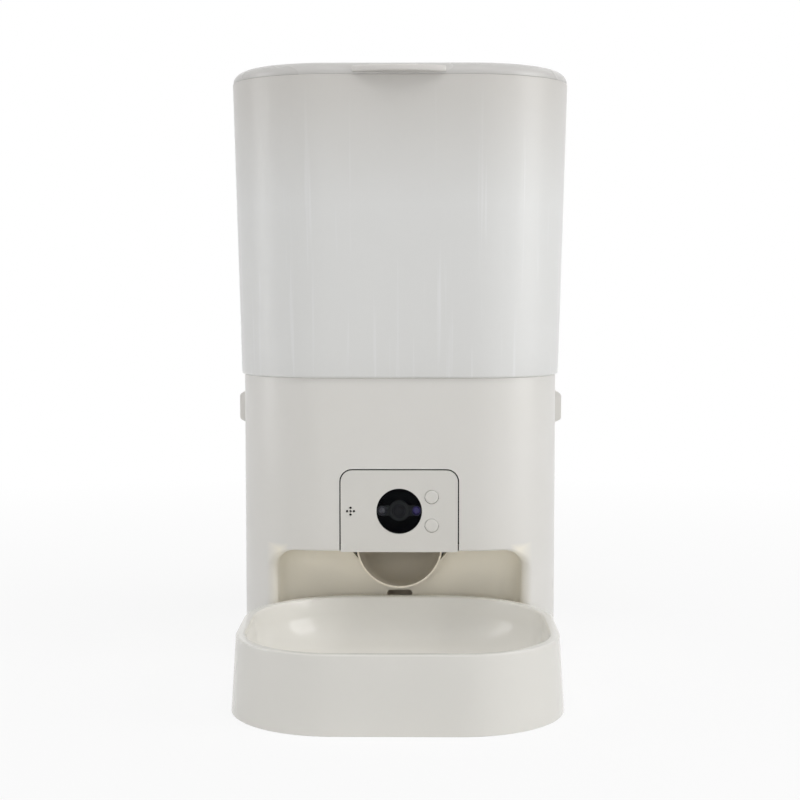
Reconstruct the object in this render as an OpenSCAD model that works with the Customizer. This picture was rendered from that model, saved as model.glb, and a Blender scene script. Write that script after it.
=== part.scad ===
// Pet feeder with a camera: a base with a drive, a lift-off hopper with a rotor, a lid and a pull-out bowl.
// Millimetres, +Z up, the front faces -Y, the origin is under the middle of the whole part.

/* [Base] */
// Width of the base across its sides
base_w = 180; // [176:1:190]
// Depth of the base from front face to back face
base_d = 184; // [180:1:194]
// Height of the seam under the hopper
base_h = 164.5; // [160:0.5:172]
// Radius of the upright corners of the base
base_r = 50; // [46:1:52]
// Wall of the moulded base shell
base_wall = 2.5; // [2:0.1:3]
// Width of the flat shelf inside the top edge that carries the hopper
shelf_w = 5.5; // [5:0.25:6]
// Thickness of the bottom plate
plate_t = 2.5; // [2:0.1:3]
// Height of the rubber feet under the bottom plate
foot_h = 2; // [1.5:0.1:3]
// Diameter of a rubber foot
foot_d = 16; // [12:1:20]

/* [Alcove] */
// Width between the side walls of the alcove
alcove_w = 137; // [134:1:140]
// Depth of the alcove behind the front face
alcove_depth = 34; // [33:0.5:36]
// Height of the alcove ceiling
alcove_h = 69.4; // [68:0.2:71]
// Radius of the upper corners of the alcove opening
alcove_top_r = 11; // [8:0.5:14]
// Radius of the upright corners at the back of the alcove
alcove_back_r = 15; // [10:1:20]
// Rounding of the upright front edges of the alcove
alcove_edge_r = 4; // [2:0.5:5]
// Width of the slot that takes the bowl's tongue
tongue_slot_w = 14.5; // [13.5:0.5:16]
// Height of the slot's upper edge
tongue_slot_top = 40.5; // [38:0.5:42]
// Height of the slot's lower edge
tongue_slot_bottom = 20; // [17:0.5:22]

/* [Camera panel] */
// Width of the camera panel
panel_w = 65; // [62:0.5:68]
// Height of the panel's upper edge
panel_top = 113.6; // [112:0.2:116]
// How far the panel hangs below the alcove ceiling
panel_drop = 0.8; // [0.4:0.1:1.5]
// Radius of the panel's upper corners
panel_r = 6.4; // [4:0.2:9]
// Slit round the panel
panel_gap = 0.6; // [0.4:0.1:0.9]
// Width of the rear flange beyond the panel's edge
panel_flange = 3.5; // [3:0.5:4]
// Thickness of the panel's rear flange
flange_t = 2; // [1.5:0.1:2.5]
// Diameter of the black camera window
window_d = 25.2; // [24:0.2:26.4]
// Height of the camera's axis
camera_z = 90.8; // [89:0.2:92]
// Thickness of the camera window
window_t = 1.2; // [1:0.1:1.5]
// Diameter of the lens barrel's collar
collar_d = 11.6; // [10:0.2:12.4]
// Diameter of the lens barrel
barrel_d = 7.4; // [6:0.2:8]
// Sideways offset of each infrared lamp
lamp_x = 8.4; // [8.2:0.1:8.6]
// Diameter of an infrared lamp
lamp_d = 4.2; // [3.6:0.1:4.4]
// Diameter of a push button
button_d = 7.4; // [6.6:0.1:8]
// Sideways offset of the push buttons
button_x = 18; // [17.5:0.5:19.5]
// Height of each push button above or below the camera's axis
button_dz = 8; // [7:0.2:9]
// How far a push button stands proud
button_proud = 0.4; // [0.2:0.1:0.6]
// How far a push button can be pressed
button_travel = 0.8; // [0.5:0.1:0.8]
// Sideways offset of the microphone
mic_x = 27; // [26.5:0.1:27.4]
// Spacing of the five microphone holes
mic_pitch = 1.87; // [1.7:0.05:2.1]
// Diameter of a microphone hole
mic_hole_d = 1.1; // [0.9:0.1:1.3]

/* [Chute] */
// Outer radius of the chute's mouth
chute_r = 24.3; // [23.5:0.1:24.6]
// Wall of the chute
chute_wall = 1.8; // [1.5:0.1:2.1]
// Level length of the chute's axis from its mouth to its bend
mouth_level = 13; // [12:0.5:14]
// How far the chute's axis lies in front of the outlet at the deck
chute_lead = 12.5; // [12:0.5:14]
// Slope of the chute above its bend
chute_slope = 60; // [58:1:62]
// Height of the chute's sides above its axis
chute_sides = 6; // [4:0.5:7]

/* [Drive] */
// How far the underside of the drive deck lies below the seam
deck_drop = 66.5; // [66:0.25:67]
// Thickness of the drive deck
deck_t = 2.5; // [2:0.1:2.8]
// Diameter of a deck leg
leg_d = 9; // [8:0.5:10]
// Module of the gear teeth
tooth_module = 1; // [0.95:0.05:1]
// Teeth of the drive gear
gear_teeth = 30; // [30:2:32]
// Teeth of the motor pinion
pinion_teeth = 12; // [12:1:13]
// Play between the teeth
tooth_play = 0.25; // [0.2:0.05:0.35]
// Width of the gear teeth
gear_t = 7; // [5:0.5:8]
// Diameter of the drive shaft
shaft_d = 8; // [7:0.5:9]
// Hexagon dog across its flats
dog_flats = 10; // [9:0.2:10.4]
// Height of the dog's top above the rotor well's floor
dog_rise = 15; // [12:0.5:18]
// Diameter of the gear motor
motor_d = 24; // [22:0.5:25]
// Length of the gear motor
motor_l = 48; // [40:1:52]
// Diameter of the motor's output shaft
motor_shaft_d = 4; // [3:0.5:5]

/* [Release buttons] */
// How far a release pad's lower edge lies below the seam
pad_drop = 31.2; // [30.7:0.1:31.5]
// Height of a release pad
pad_h = 20.1; // [19:0.1:20.4]
// Length of a release pad along the side
pad_l = 30; // [26:1:32]
// How far a pad stands proud of the side wall
pad_proud = 6.2; // [5.6:0.1:7]
// Bevel at a pad's upper and lower edge
pad_bevel = 2.5; // [2:0.25:3.5]
// How far a pad can be pressed
pad_travel = 3.6; // [3.4:0.1:3.7]
// Width of the stem behind a pad
stem_w = 8; // [7:0.5:8]
// Height of the stem behind a pad
stem_h = 4.5; // [4:0.5:4.5]
// Width of the catch head at the stem's end
catch_w = 24; // [22:1:26]
// Wire of a release spring
spring_wire = 0.9; // [0.7:0.1:1]
// Turns of a release spring
spring_turns = 3.5; // [3:0.5:4]

/* [Hopper] */
// Overhang of the hopper beyond the base at the seam
seam_over = 1.5; // [1:0.25:2]
// Extra half width of the hopper at its top edge
hopper_flare = 4.25; // [3:0.25:5]
// Height of the hopper's top edge
hopper_top = 329.5; // [320:0.5:336]
// Wall of the hopper
hopper_wall = 2.5; // [2:0.1:2.8]
// Rounding of the hopper's lower edge
hopper_foot_r = 2.2; // [1.5:0.1:2.4]
// Inner radius of the rotor well
well_r = 50; // [49.5:0.25:50]
// How far the rotor well's floor lies below the seam
well_drop = 58.5; // [58:0.25:59]
// Depth of the rotor well
well_depth = 28; // [27:0.5:28]
// Slope of the funnel
funnel_slope = 38; // [37:0.5:38]
// Wall of the funnel and of the rotor well
funnel_wall = 2.2; // [1.8:0.1:2.4]
// Diameter of the food outlet in the well's floor
outlet_d = 27; // [24:0.5:28]
// Distance of the outlet from the rotor's axis
outlet_offset = 35; // [34.5:0.25:35.5]
// Vanes of the feed rotor
vanes = 6; // [5:1:8]
// Thickness of a rotor vane
vane_t = 2.4; // [1.6:0.2:3]
// Diameter of the rotor's hub
hub_d = 22; // [20:0.5:24]

/* [Lid] */
// Height of the lid's visible edge
lid_h = 7.2; // [6.8:0.2:8]
// Rounding of the lid's top edge
lid_edge_r = 6.4; // [5:0.2:6.6]
// Wall of the lid
lid_wall = 2.2; // [1.8:0.1:2.4]
// Depth of the lid's skirt inside the hopper
lid_skirt = 10; // [8:0.5:12]
// Width of the finger lip
lip_w = 49; // [44:1:54]
// How far the finger lip stands proud of the lid's edge
lip_proud = 3.4; // [2:0.2:4]
// Diameter of the desiccant pocket under the lid
pocket_d = 62; // [54:1:70]

/* [Bowl] */
// How far the bowl reaches in front of the base
bowl_reach = 130; // [120:1:136]
// How far the bowl's rim reaches behind the front face
bowl_inset = 24; // [22:0.5:25]
// Width of the bowl at its rim
bowl_w = 164.8; // [160:0.2:166]
// Height of the bowl's rim
bowl_h = 39.5; // [37:0.5:40]
// Radius of the bowl's front corners at its rim
bowl_r = 52; // [50:1:54]
// Radius of the bowl's rear corners at its rim
bowl_rear_r = 62; // [56:1:66]
// How far the skirt spreads from the rim to the floor
bowl_flare = 2.5; // [1.5:0.25:2.5]
// Wall of the bowl
bowl_wall = 2; // [1.6:0.1:2.4]
// Width of the flat rim
rim_w = 3.75; // [3.25:0.25:6]
// Radius where the basin's wall meets its floor
basin_r = 22; // [12:0.5:24]
// Height of the basin's floor
basin_floor = 10; // [8:0.5:13]

/* [Clearances] */
// Gap between pieces that lift or pull apart
lift_gap = 0.3; // [0.2:0.05:0.4]
// Gap round pieces that slide in a window
slide_gap = 0.3; // [0.2:0.05:0.35]
// Radial clearance of a turning shaft in its bush
shaft_gap = 0.05; // [0.02:0.01:0.08]
// Radial clearance of a screw in its hole
screw_gap = 0.05; // [0.03:0.01:0.1]

/* [Hidden] */
$fn = 64;

// A little more than a face, so that a cut goes right through
cut = 1;

// What a piece keeps free in front of its stop
rest_gap = 0.3;

// Plastics and metals
shell_color = [0.80, 0.79, 0.77];
panel_color = [0.78, 0.77, 0.75];
hopper_color = [0.80, 0.81, 0.80, 0.55];
white_color = [0.90, 0.90, 0.88];
seal_color = [0.72, 0.70, 0.66];
black_color = [0.02, 0.02, 0.03];
lens_color = [0.08, 0.08, 0.12];
lamp_color = [0.45, 0.40, 0.60];
board_color = [0.10, 0.30, 0.18];
steel_color = [0.70, 0.71, 0.73];
brass_color = [0.75, 0.62, 0.36];
rubber_color = [0.25, 0.24, 0.23];
gear_color = [0.88, 0.86, 0.80];

// Where the front face and the body's axis lie, with the whole part centred on the origin
hopper_w = base_w + 2 * seam_over;
hopper_d = base_d + 2 * seam_over;
hopper_r = base_r + seam_over;
top_over = seam_over + hopper_flare;
total_d = bowl_reach + base_d + top_over;
face_y = bowl_reach - total_d / 2;
mid_y = face_y + base_d / 2;

// Heights and faces in the body's own frame, whose axis is the rotor's axis
front = -base_d / 2;
plate_top = foot_h + plate_t;
side_in = base_w / 2 - base_wall;
back_in = base_d / 2 - base_wall;
alcove_back = front + alcove_depth;
wall_in = front + base_wall;
deck_z = base_h - deck_drop;
pad_bottom = base_h - pad_drop;
well_floor = base_h - well_drop;
well_rim = well_floor + well_depth;

// Fastener sizes: thread diameter, head diameter and head height
screw_d = 2.6;
screw_head_d = 5;
screw_head_h = 1.6;
board_screw_d = 2;
board_head_d = 3.8;
board_head_h = 1.4;
boss_d = 9;
boss_top = 40;
boss_sink = 0.5;
head_gap = 0.3;
screw_l = 12;
screw_recess = 1;

// Places of the screws, the legs and the feet
leg_points = [[-58, -38], [58, -38], [-58, 60], [58, 60]];
boss_y = 32;
boss_x = side_in - boss_d / 2 + boss_sink;
boss_points = [[-boss_x, -boss_y], [boss_x, -boss_y], [-boss_x, boss_y], [boss_x, boss_y]];
foot_points = [[-66, -22], [66, -22], [-45, 72], [45, 72]];

// Camera board behind the panel
panel_bottom = alcove_h - panel_drop;
panel_back = wall_in + flange_t;
board_standoff = 4;
board_front = panel_back + board_standoff;
lens_front = front + window_t + rest_gap;
window_seat = 1.2;
board_t = 1.6;
board_w = 66;
board_bottom = 73.5;
board_top = 110;
board_post_d = 5;
board_post_in = 4;
board_post_x = board_w / 2 - board_post_in;
board_posts = [
  for (x = [-board_post_x, board_post_x], z = [board_bottom + board_post_in, board_top - board_post_in]) [x, z]
];
switch_size = 6;
switch_h = 1.9;
plunger_d = 3;
button_rest = 0.1;
button_flange_t = 0.6;
plunger_h = board_standoff - switch_h - button_rest - button_flange_t - button_travel - rest_gap;
mic_d = 9;
mic_hole_points = [[0, 0], [1, 0], [-1, 0], [0, 1], [0, -1]];
button_flange_d = 10;
button_hole_d = button_d + 2 * slide_gap;

// Corners of the tongue slot
slot_r = 2;

// Chute path: the axis leaves the mouth level and then turns up its slope at a mitred bend
bend_y = -outlet_offset - chute_lead - (deck_z - alcove_h) / tan(chute_slope);
mouth_y = bend_y - mouth_level;
chute_flange_t = 2;
chute_hole_gap = 0.7;
chute_run = 60;
chute_flange_x = chute_r + 4.7;
chute_flange_front = -outlet_offset - 22;
chute_flange_back = -outlet_offset + 17.2;

// Drive levels
deck_top = deck_z + deck_t;
gear_top = deck_z - 2;
gear_bottom = gear_top - gear_t;
motor_plate_t = 2.5;
motor_plate_top = gear_bottom - 2;
motor_plate_bottom = motor_plate_top - motor_plate_t;
motor_plate_w = 52;
motor_plate_d = 52;
motor_plate_mid = 14;
gear_pitch_r = tooth_module * gear_teeth / 2;
pinion_pitch_r = tooth_module * pinion_teeth / 2;
motor_y = gear_pitch_r + pinion_pitch_r;
pressure_angle = 25;
bush_wall = 2;
bush_flange = 1.5;
bush_flange_t = 1;
standoff_d = 6;
standoff_points = [[-22, -6], [22, -6], [-22, 34], [22, 34]];
motor_screw_x = 8.5;
dog_bottom = deck_top + 0.6;
press_gap = 0.02;
pinion_shaft_l = 10;
motor_screw_l = 6;
deck_w = 136;
deck_d = 128;
deck_r = 12;
deck_mid = 6;
sleeve_wall = 2;

// Funnel and rotor levels
well_out = well_r + funnel_wall;
floor_t = 2.5;
well_bottom = well_floor - floor_t;
cone_rise = tan(funnel_slope);
cone_drop = funnel_wall / cos(funnel_slope);

// Release button stack, measured from the body's axis outwards
guide_t = 2;
guide_w = 44;
guide_depth = 12.5;
cone_gap = 3;
guide_in = side_in - guide_depth;
guide_bottom = pad_bottom - 6.3;
guide_top = well_rim - cone_drop + (guide_in - well_out) * cone_rise - cone_gap;
flange_thick = 1.8;
flange_out = side_in - slide_gap;
flange_in = flange_out - flange_thick;
flange_over = 1.8;
stem_bottom = pad_bottom;
stem_top = stem_bottom + stem_h;
tab_t = 2.5;
tab_out = guide_in - tab_t;
tab_in = tab_out - tab_t;
tab_w = 32;
tab_bottom = pad_bottom - 7.8;
tab_top = well_rim - cone_drop / 2 + (tab_in - well_out) * cone_rise;
ledge_depth = pad_travel - 0.6;
ledge_h = 4;
ledge_top = stem_bottom - lift_gap;
catch_out = tab_in - lift_gap;
catch_in = catch_out - 3;
catch_bevel = 2;
pad_edge = 1;
notch_gap = 0.5;
spring_r = 5.9;

// Hopper ring and rotor levels
shelf_gap = 0.5;
shelf_in = base_wall + shelf_w;
ring_w = base_w - 2 * (shelf_in + shelf_gap);
ring_d = base_d - 2 * (shelf_in + shelf_gap);
ring_r = base_r - shelf_in - shelf_gap;
ring_bottom = base_h - 8.5;
hopper_bottom = base_h + lift_gap;
flange_top = hopper_bottom + hopper_wall;
lip_t = 2;
lip_over = 4;
ledge_r = well_out - lift_gap;
guard_t = 2;
guard_angle = 100;
guard_in_r = 13;
rotor_bottom = well_floor + rest_gap;
rotor_spigot_d = 15.8;
spigot_gap = 0.1;
vane_gap = 0.6;
vane_top = well_rim - 2 * vane_gap;
socket_gap = 0.2;

// Lid levels and bowl frame
lid_bottom = hopper_top + lift_gap;
lid_top = lid_bottom + lid_h;
lid_inset = 0.3;
lid_w = hopper_w + 2 * (hopper_flare - lid_inset);
lid_d = hopper_d + 2 * (hopper_flare - lid_inset);
lid_r = hopper_r + hopper_flare - lid_inset;
skirt_in = 5;
lip_up = 1;
lip_h = 3.4;
lip_r = 1.6;
seal_h = 3;
seal_t = 1.2;
seal_fin = 1;
seal_up = 2;
pocket_h = 11;
pocket_wall = 2;
cover_t = 2;
cover_wall = 1.5;
cover_rim = 3;
cover_pitch = 6.5;
cover_hole_d = 3.2;
bowl_depth = bowl_reach - bowl_flare + bowl_inset;
bowl_y = face_y + bowl_inset - bowl_depth / 2;
bowl_bottom = lift_gap;
wall_lean = 4;
tongue_gap = 0.75;
tongue_w = tongue_slot_w - 2 * tongue_gap;
tongue_h = 10;
tongue_l = alcove_depth - bowl_inset + cut;

// Control board on the bottom plate
control_w = 52;
control_d = 50;
control_in = 17.5;
control_at = [side_in - control_in - control_w, 0];
control_z = 9;
post_inset = 5;
control_posts = [
  for (x = [post_inset, control_w - post_inset], y = [post_inset, control_d - post_inset]) control_at + [x, y]
];
// Chips and sockets: x, y, width, depth, height
control_chips = [[10, 14, 14, 14, 1.6], [30, 10, 10, 10, 1.2], [4, 40, 12, 7, 7], [22, 40, 10, 7, 7]];
can_points = [[36, 34], [44, 34]];
can_d = 6.3;
can_h = 9;

// Power inlet in the back wall
inlet_d = 11;
inlet_flange_d = 14.5;
inlet_bore_d = 6.4;
inlet_pin_d = 2;
inlet_flange_t = 1;
inlet_bore_l = 10;
inlet_l = 13;
inlet_z = 26;

// Speaker over a patch of holes in the bottom plate
speaker_d = 40;
speaker_h = 14;
speaker_at = [-48, 18];
grille_hole_d = 3;
grille_pitch = 5.4;
grille_points = [
  [0, 0],
  for (a = [0:60:300]) grille_pitch * [cos(a), sin(a)],
  for (a = [0:30:330]) 2 * grille_pitch * [cos(a), sin(a)]
];

// Places children on the body's axis
module at_body() {
  translate([0, mid_y, 0]) children();
}

// Copies children to the left side
module both_sides() {
  children();
  mirror([1, 0, 0]) children();
}

// A rounded rectangle centred on the origin
module round_rect(w, d, r) {
  square([w - 2 * r, d], center = true);
  square([w, d - 2 * r], center = true);
  for (x = [-1, 1], y = [-1, 1])
    translate([x * (w / 2 - r), y * (d / 2 - r)]) circle(r);
}

// An upright block with a rounded rectangular plan, between two heights
module round_block(w, d, r, z0, z1) {
  translate([0, 0, z0]) linear_extrude(z1 - z0) round_rect(w, d, r);
}

// Carries a flat section round a rounded rectangle: x of the section is measured outwards from its outline
module swept(w, d, r, rear_r) {
  side = d - r - rear_r;
  runs = [
    [0, w / 2, d / 2 - rear_r, side], [90, d / 2, w / 2 - rear_r, w - 2 * rear_r],
    [180, w / 2, d / 2 - r, side], [270, d / 2, w / 2 - r, w - 2 * r]
  ];
  for (s = runs)
    rotate(s[0]) translate([s[1], s[2], 0]) rotate([90, 0, 0]) linear_extrude(s[3]) children();
  corners = [[1, 1, 0, rear_r], [-1, 1, 90, rear_r], [-1, -1, 180, r], [1, -1, 270, r]];
  for (c = corners)
    translate([c[0] * (w / 2 - c[3]), c[1] * (d / 2 - c[3]), 0])
      rotate(c[2]) rotate_extrude(angle = 90) translate([c[3], 0]) children();
}

// A flat outline drawn in X and Z, pushed along Y
module along_y(y0, y1) {
  translate([0, y1, 0]) rotate([90, 0, 0]) linear_extrude(y1 - y0) children();
}

// A cylinder along Y
module rod_y(d, y0, y1) {
  translate([0, y0, 0]) rotate([-90, 0, 0]) cylinder(d = d, h = y1 - y0);
}

// An upright cylinder between two heights
module post(d, z0, z1) {
  translate([0, 0, z0]) cylinder(d = d, h = z1 - z0);
}

// A box given by its lower and upper corner
module box(a, b) {
  translate(a) cube(b - a);
}

// A six-sided bar of a given width across its flats
module hex_bar(flats, z0, z1) {
  translate([0, 0, z0]) cylinder(d = flats / cos(30), h = z1 - z0, $fn = 6);
}

// A screw that points up from its head
module screw_up(d, l, head_d, head_h) {
  cylinder(d = head_d, h = head_h);
  translate([0, 0, head_h]) cylinder(d = d, h = l);
}

// The opening of the alcove as seen from the front
module alcove_arch(grow) {
  half = alcove_w / 2 + grow;
  top = alcove_h + grow;
  r = alcove_top_r + grow;
  translate([-half, -cut]) square([2 * half, top - r + cut]);
  translate([-half + r, 0]) square([2 * (half - r), top]);
  for (s = [-1, 1]) translate([s * (half - r), top - r]) circle(r);
}

// The floor plan of the alcove, open to the front
module alcove_plan(grow) {
  half = alcove_w / 2 + grow;
  r = alcove_back_r + grow;
  back = alcove_back + grow;
  translate([-half, front - base_r]) square([2 * half, back - r - front + base_r]);
  translate([-half + r, front - base_r]) square([2 * (half - r), back - front + base_r]);
  for (s = [-1, 1]) translate([s * (half - r), back - r]) circle(r);
}

// The room of the alcove, or the room with its walls
module alcove_room(grow) {
  intersection() {
    along_y(front - cut, alcove_back + grow) alcove_arch(grow);
    translate([0, 0, -cut]) linear_extrude(alcove_h + grow + cut) alcove_plan(grow);
  }
}

// What is taken off an upright front edge of the alcove to round it
module alcove_edge_cut() {
  cx = base_w / 2 - base_r;
  cy = front + base_r;
  ex = alcove_w / 2 + alcove_edge_r - cx;
  edge_over = 0.02;
  reach = base_r - alcove_edge_r;
  ey = sqrt(reach * reach - ex * ex);
  centre = [cx + ex, cy - ey];
  touch = [cx + ex * base_r / reach, cy - ey * base_r / reach];
  translate([0, 0, -cut]) linear_extrude(alcove_h - alcove_top_r + cut) difference() {
    polygon([
      [alcove_w / 2 - cut, centre[1]], [alcove_w / 2 - cut, front - cut],
      [touch[0] + alcove_edge_r, front - cut], touch, centre
    ]);
    translate(centre) circle(alcove_edge_r + edge_over);
  }
}

// The opening for the camera panel, with a margin
module panel_outline(margin, bottom) {
  half = panel_w / 2 + margin;
  top = panel_top + margin;
  r = panel_r + margin;
  translate([-half, bottom]) square([2 * half, top - r - bottom]);
  translate([-half + r, bottom]) square([2 * (half - r), top - bottom]);
  for (s = [-1, 1]) translate([s * (half - r), top - r]) circle(r);
}

// The hole in the alcove's back wall that the chute comes through, splayed at its upper corners
module chute_hole() {
  r = chute_r + chute_hole_gap;
  splay = 7.5;
  splay_h = 10.9;
  low_r = sqrt(r * r - splay_h * splay_h);
  translate([0, alcove_h]) circle(r);
  translate([-r, alcove_h]) square([2 * r, base_wall + cut]);
  for (s = [-1, 1]) scale([s, 1]) polygon([
    [r - splay, alcove_h], [r + splay, alcove_h], [low_r, alcove_h - splay_h], [low_r - splay, alcove_h - splay_h]
  ]);
}

// The slot for the bowl's tongue, with round upper corners
module tongue_slot() {
  r = slot_r;
  half = tongue_slot_w / 2;
  height = tongue_slot_top - tongue_slot_bottom;
  translate([-half, tongue_slot_bottom]) square([2 * half, height - r]);
  translate([-half + r, tongue_slot_bottom]) square([2 * (half - r), height]);
  for (s = [-1, 1]) translate([s * (half - r), tongue_slot_top - r]) circle(r);
}

// Moulded shell of the base, open at the bottom, with its alcove, windows and screw bosses
module body_shell() {
  color(shell_color) difference() {
    union() {
      difference() {
        round_block(base_w, base_d, base_r, foot_h, base_h);
        difference() {
          round_block(2 * side_in, 2 * back_in, base_r - base_wall, foot_h - cut, base_h - base_wall);
          alcove_room(base_wall);
        }
      }
      for (p = boss_points) translate(p) post(boss_d, plate_top, boss_top);
    }
    alcove_room(0);
    both_sides() alcove_edge_cut();
    round_block(base_w - 2 * shelf_in, base_d - 2 * shelf_in, base_r - shelf_in,
      base_h - base_wall - cut, base_h + cut);
    along_y(front - cut, wall_in) panel_outline(panel_gap, alcove_h - cut);
    box([-panel_w / 2 - panel_gap, front - cut, alcove_h - cut],
      [panel_w / 2 + panel_gap, wall_in + panel_gap, alcove_h + base_wall]);
    along_y(alcove_back - cut, alcove_back + base_wall + cut) chute_hole();
    box([-chute_r - chute_hole_gap, mouth_y - 2 * chute_hole_gap, alcove_h - cut],
      [chute_r + chute_hole_gap, alcove_back + base_wall + cut, alcove_h + base_wall + cut]);
    along_y(alcove_back - cut, alcove_back + base_wall + cut) tongue_slot();
    both_sides() box(
      [side_in - cut, -pad_l / 2 - slide_gap, pad_bottom - slide_gap],
      [base_w / 2 + cut, pad_l / 2 + slide_gap, pad_bottom + pad_h + slide_gap]);
    for (p = boss_points) translate(p) post(screw_d + 2 * screw_gap, plate_top - cut, plate_top + screw_l);
    translate([0, 0, inlet_z]) rod_y(inlet_d + 2 * screw_gap, back_in - cut, base_d / 2 + cut);
  }
}

// Plate that closes the base from below, cut away round the alcove
module bottom_plate() {
  color(shell_color) difference() {
    union() {
      round_block(
        2 * (side_in - slide_gap), 2 * (back_in - slide_gap), base_r - base_wall - slide_gap,
        foot_h, plate_top);
      for (p = control_posts) translate(p) post(board_post_d, plate_top - 1, control_z);
    }
    translate([0, 0, foot_h - cut]) linear_extrude(plate_t + 2 * cut) alcove_plan(base_wall + slide_gap);
    for (p = concat(leg_points, boss_points)) translate(p) {
      post(screw_d + 2 * screw_gap, foot_h - cut, plate_top + cut);
      post(screw_head_d + 2 * head_gap, foot_h - cut, foot_h + screw_recess);
    }
    for (p = grille_points) translate(speaker_at + p) post(grille_hole_d, foot_h - cut, plate_top + cut);
  }
}

// Rubber feet under the bottom plate
module rubber_feet() {
  color(rubber_color) for (p = foot_points) translate(p) cylinder(d1 = foot_d - 2, d2 = foot_d, h = foot_h);
}

// Screws that hold the bottom plate to the shell and to the drive deck
module case_screws() {
  color(steel_color) for (p = concat(leg_points, boss_points))
    translate([p[0], p[1], foot_h + screw_recess - screw_head_h])
      screw_up(screw_d, screw_l, screw_head_d, screw_head_h);
}

// Flush panel in the front wall, held from behind by its flange
module camera_panel() {
  color(panel_color) difference() {
    union() {
      along_y(front, wall_in) panel_outline(0, panel_bottom);
      along_y(wall_in, panel_back) panel_outline(panel_flange, alcove_h + base_wall);
      for (p = board_posts) translate([p[0], 0, p[1]]) rod_y(board_post_d, panel_back - cut, board_front);
    }
    translate([0, 0, camera_z]) {
      rod_y(window_d + 2 * screw_gap, front - cut, front + window_t);
      rod_y(window_d - 2 * window_seat, front, panel_back + cut);
    }
    for (s = [-1, 1]) translate([button_x, 0, camera_z + s * button_dz])
      rod_y(button_hole_d, front - cut, panel_back + cut);
    for (p = mic_hole_points) translate([-mic_x + p[0] * mic_pitch, 0, camera_z + p[1] * mic_pitch])
      rod_y(mic_hole_d, front - cut, panel_back + cut);
    for (p = board_posts) translate([p[0], 0, p[1]])
      rod_y(board_screw_d + 2 * screw_gap, panel_back - 1, board_front + cut);
  }
}

// Black window in front of the camera
module camera_window() {
  color(black_color) translate([0, 0, camera_z]) rod_y(window_d, front, front + window_t);
}

// Carrier with the lens collar and the bar that holds the infrared lamps
module camera_carrier() {
  bar_h = lamp_d * 1.5;
  bar_l = window_d - 3 * window_seat;
  bar_front = lens_front + 1;
  seat_d = window_d + 2 * window_seat;
  color(black_color) translate([0, 0, camera_z]) difference() {
    union() {
      rod_y(collar_d, lens_front, board_front);
      intersection() {
        along_y(bar_front, panel_back + cut) square([bar_l, bar_h], center = true);
        rod_y(bar_l, bar_front, panel_back + cut);
      }
      rod_y(seat_d, panel_back, board_front);
    }
    rod_y(barrel_d + 2 * screw_gap, lens_front - cut, board_front + cut);
    for (s = [-1, 1]) translate([s * lamp_x, 0, 0])
      rod_y(lamp_d + 2 * screw_gap, lens_front, board_front + cut);
  }
}

// Lens barrel with a shallow mouth and a glass dome in it
module camera_lens() {
  barrel_front = lens_front + 0.4;
  mouth_d = barrel_d - 1.6;
  glass_r = 2.4;
  glass_y = lens_front + 0.7 + glass_r;
  color(lens_color) translate([0, 0, camera_z]) {
    difference() {
      rod_y(barrel_d, barrel_front, board_front);
      rod_y(mouth_d, barrel_front - cut, barrel_front + 1);
    }
    intersection() {
      translate([0, glass_y, 0]) sphere(glass_r);
      rod_y(mouth_d, barrel_front, glass_y);
    }
  }
}

// Infrared lamps on both sides of the lens, each a rod with a domed end
module infrared_lamps() {
  lamp_r = lamp_d / 2;
  lamp_l = board_front - lens_front - 1 - lamp_r;
  color(lamp_color) for (s = [-1, 1]) translate([s * lamp_x, board_front, camera_z])
    rotate([90, 0, 0]) rotate_extrude() {
      square([lamp_r, lamp_l]);
      intersection() {
        translate([0, lamp_l]) mirror([0, 1]) quarter(lamp_r);
        square([lamp_r, lamp_l + lamp_r - 0.1]);
      }
    }
}

// Circuit board of the camera
module camera_board() {
  color(board_color) difference() {
    box([-board_w / 2, board_front, board_bottom], [board_w / 2, board_front + board_t, board_top]);
    for (p = board_posts) translate([p[0], 0, p[1]])
      rod_y(board_screw_d + 2 * screw_gap, board_front - cut, board_front + board_t + cut);
  }
}

// Screws that hold the camera board on the panel's posts
module board_screws() {
  color(steel_color) for (p = board_posts)
    translate([p[0], board_front + board_t + board_head_h, p[1]])
      rotate([90, 0, 0]) screw_up(board_screw_d, board_t + 4, board_head_d, board_head_h);
}

// Switches behind the push buttons
module button_switches() {
  half = switch_size / 2;
  color(black_color) for (s = [-1, 1]) translate([button_x, 0, camera_z + s * button_dz]) {
    box([-half, board_front - switch_h, -half], [half, board_front, half]);
    rod_y(plunger_d, board_front - switch_h - plunger_h, board_front - 1);
  }
}

// Microphone capsule behind the five holes
module microphone() {
  color(steel_color) translate([-mic_x, 0, camera_z]) rod_y(mic_d, panel_back, board_front);
}

// A push button with its flange behind the panel
module push_button(z) {
  color(panel_color) translate([button_x, 0, z]) {
    rod_y(button_d, front - button_proud, panel_back + button_rest + button_flange_t);
    rod_y(button_flange_d, panel_back + button_rest, panel_back + button_rest + button_flange_t);
  }
}

module feed_button() {
  push_button(camera_z + button_dz);
}

module reset_button() {
  push_button(camera_z - button_dz);
}

// Section of the chute: a half ring with sides that rise above its axis
module chute_section(sides) {
  inner = chute_r - chute_wall;
  difference() {
    union() {
      circle(chute_r);
      translate([-chute_r, 0]) square([2 * chute_r, chute_r + cut]);
    }
    circle(inner);
    translate([-inner, 0]) square([2 * inner, chute_r + 2 * cut]);
    translate([-chute_r - cut, sides]) square([2 * (chute_r + cut), 2 * chute_r]);
  }
}

// The straight slope of the chute, for a given section
module along_slope(length) {
  translate([0, bend_y, alcove_h]) rotate([chute_slope, 0, 0]) along_y(-chute_r, length) children();
}

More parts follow.
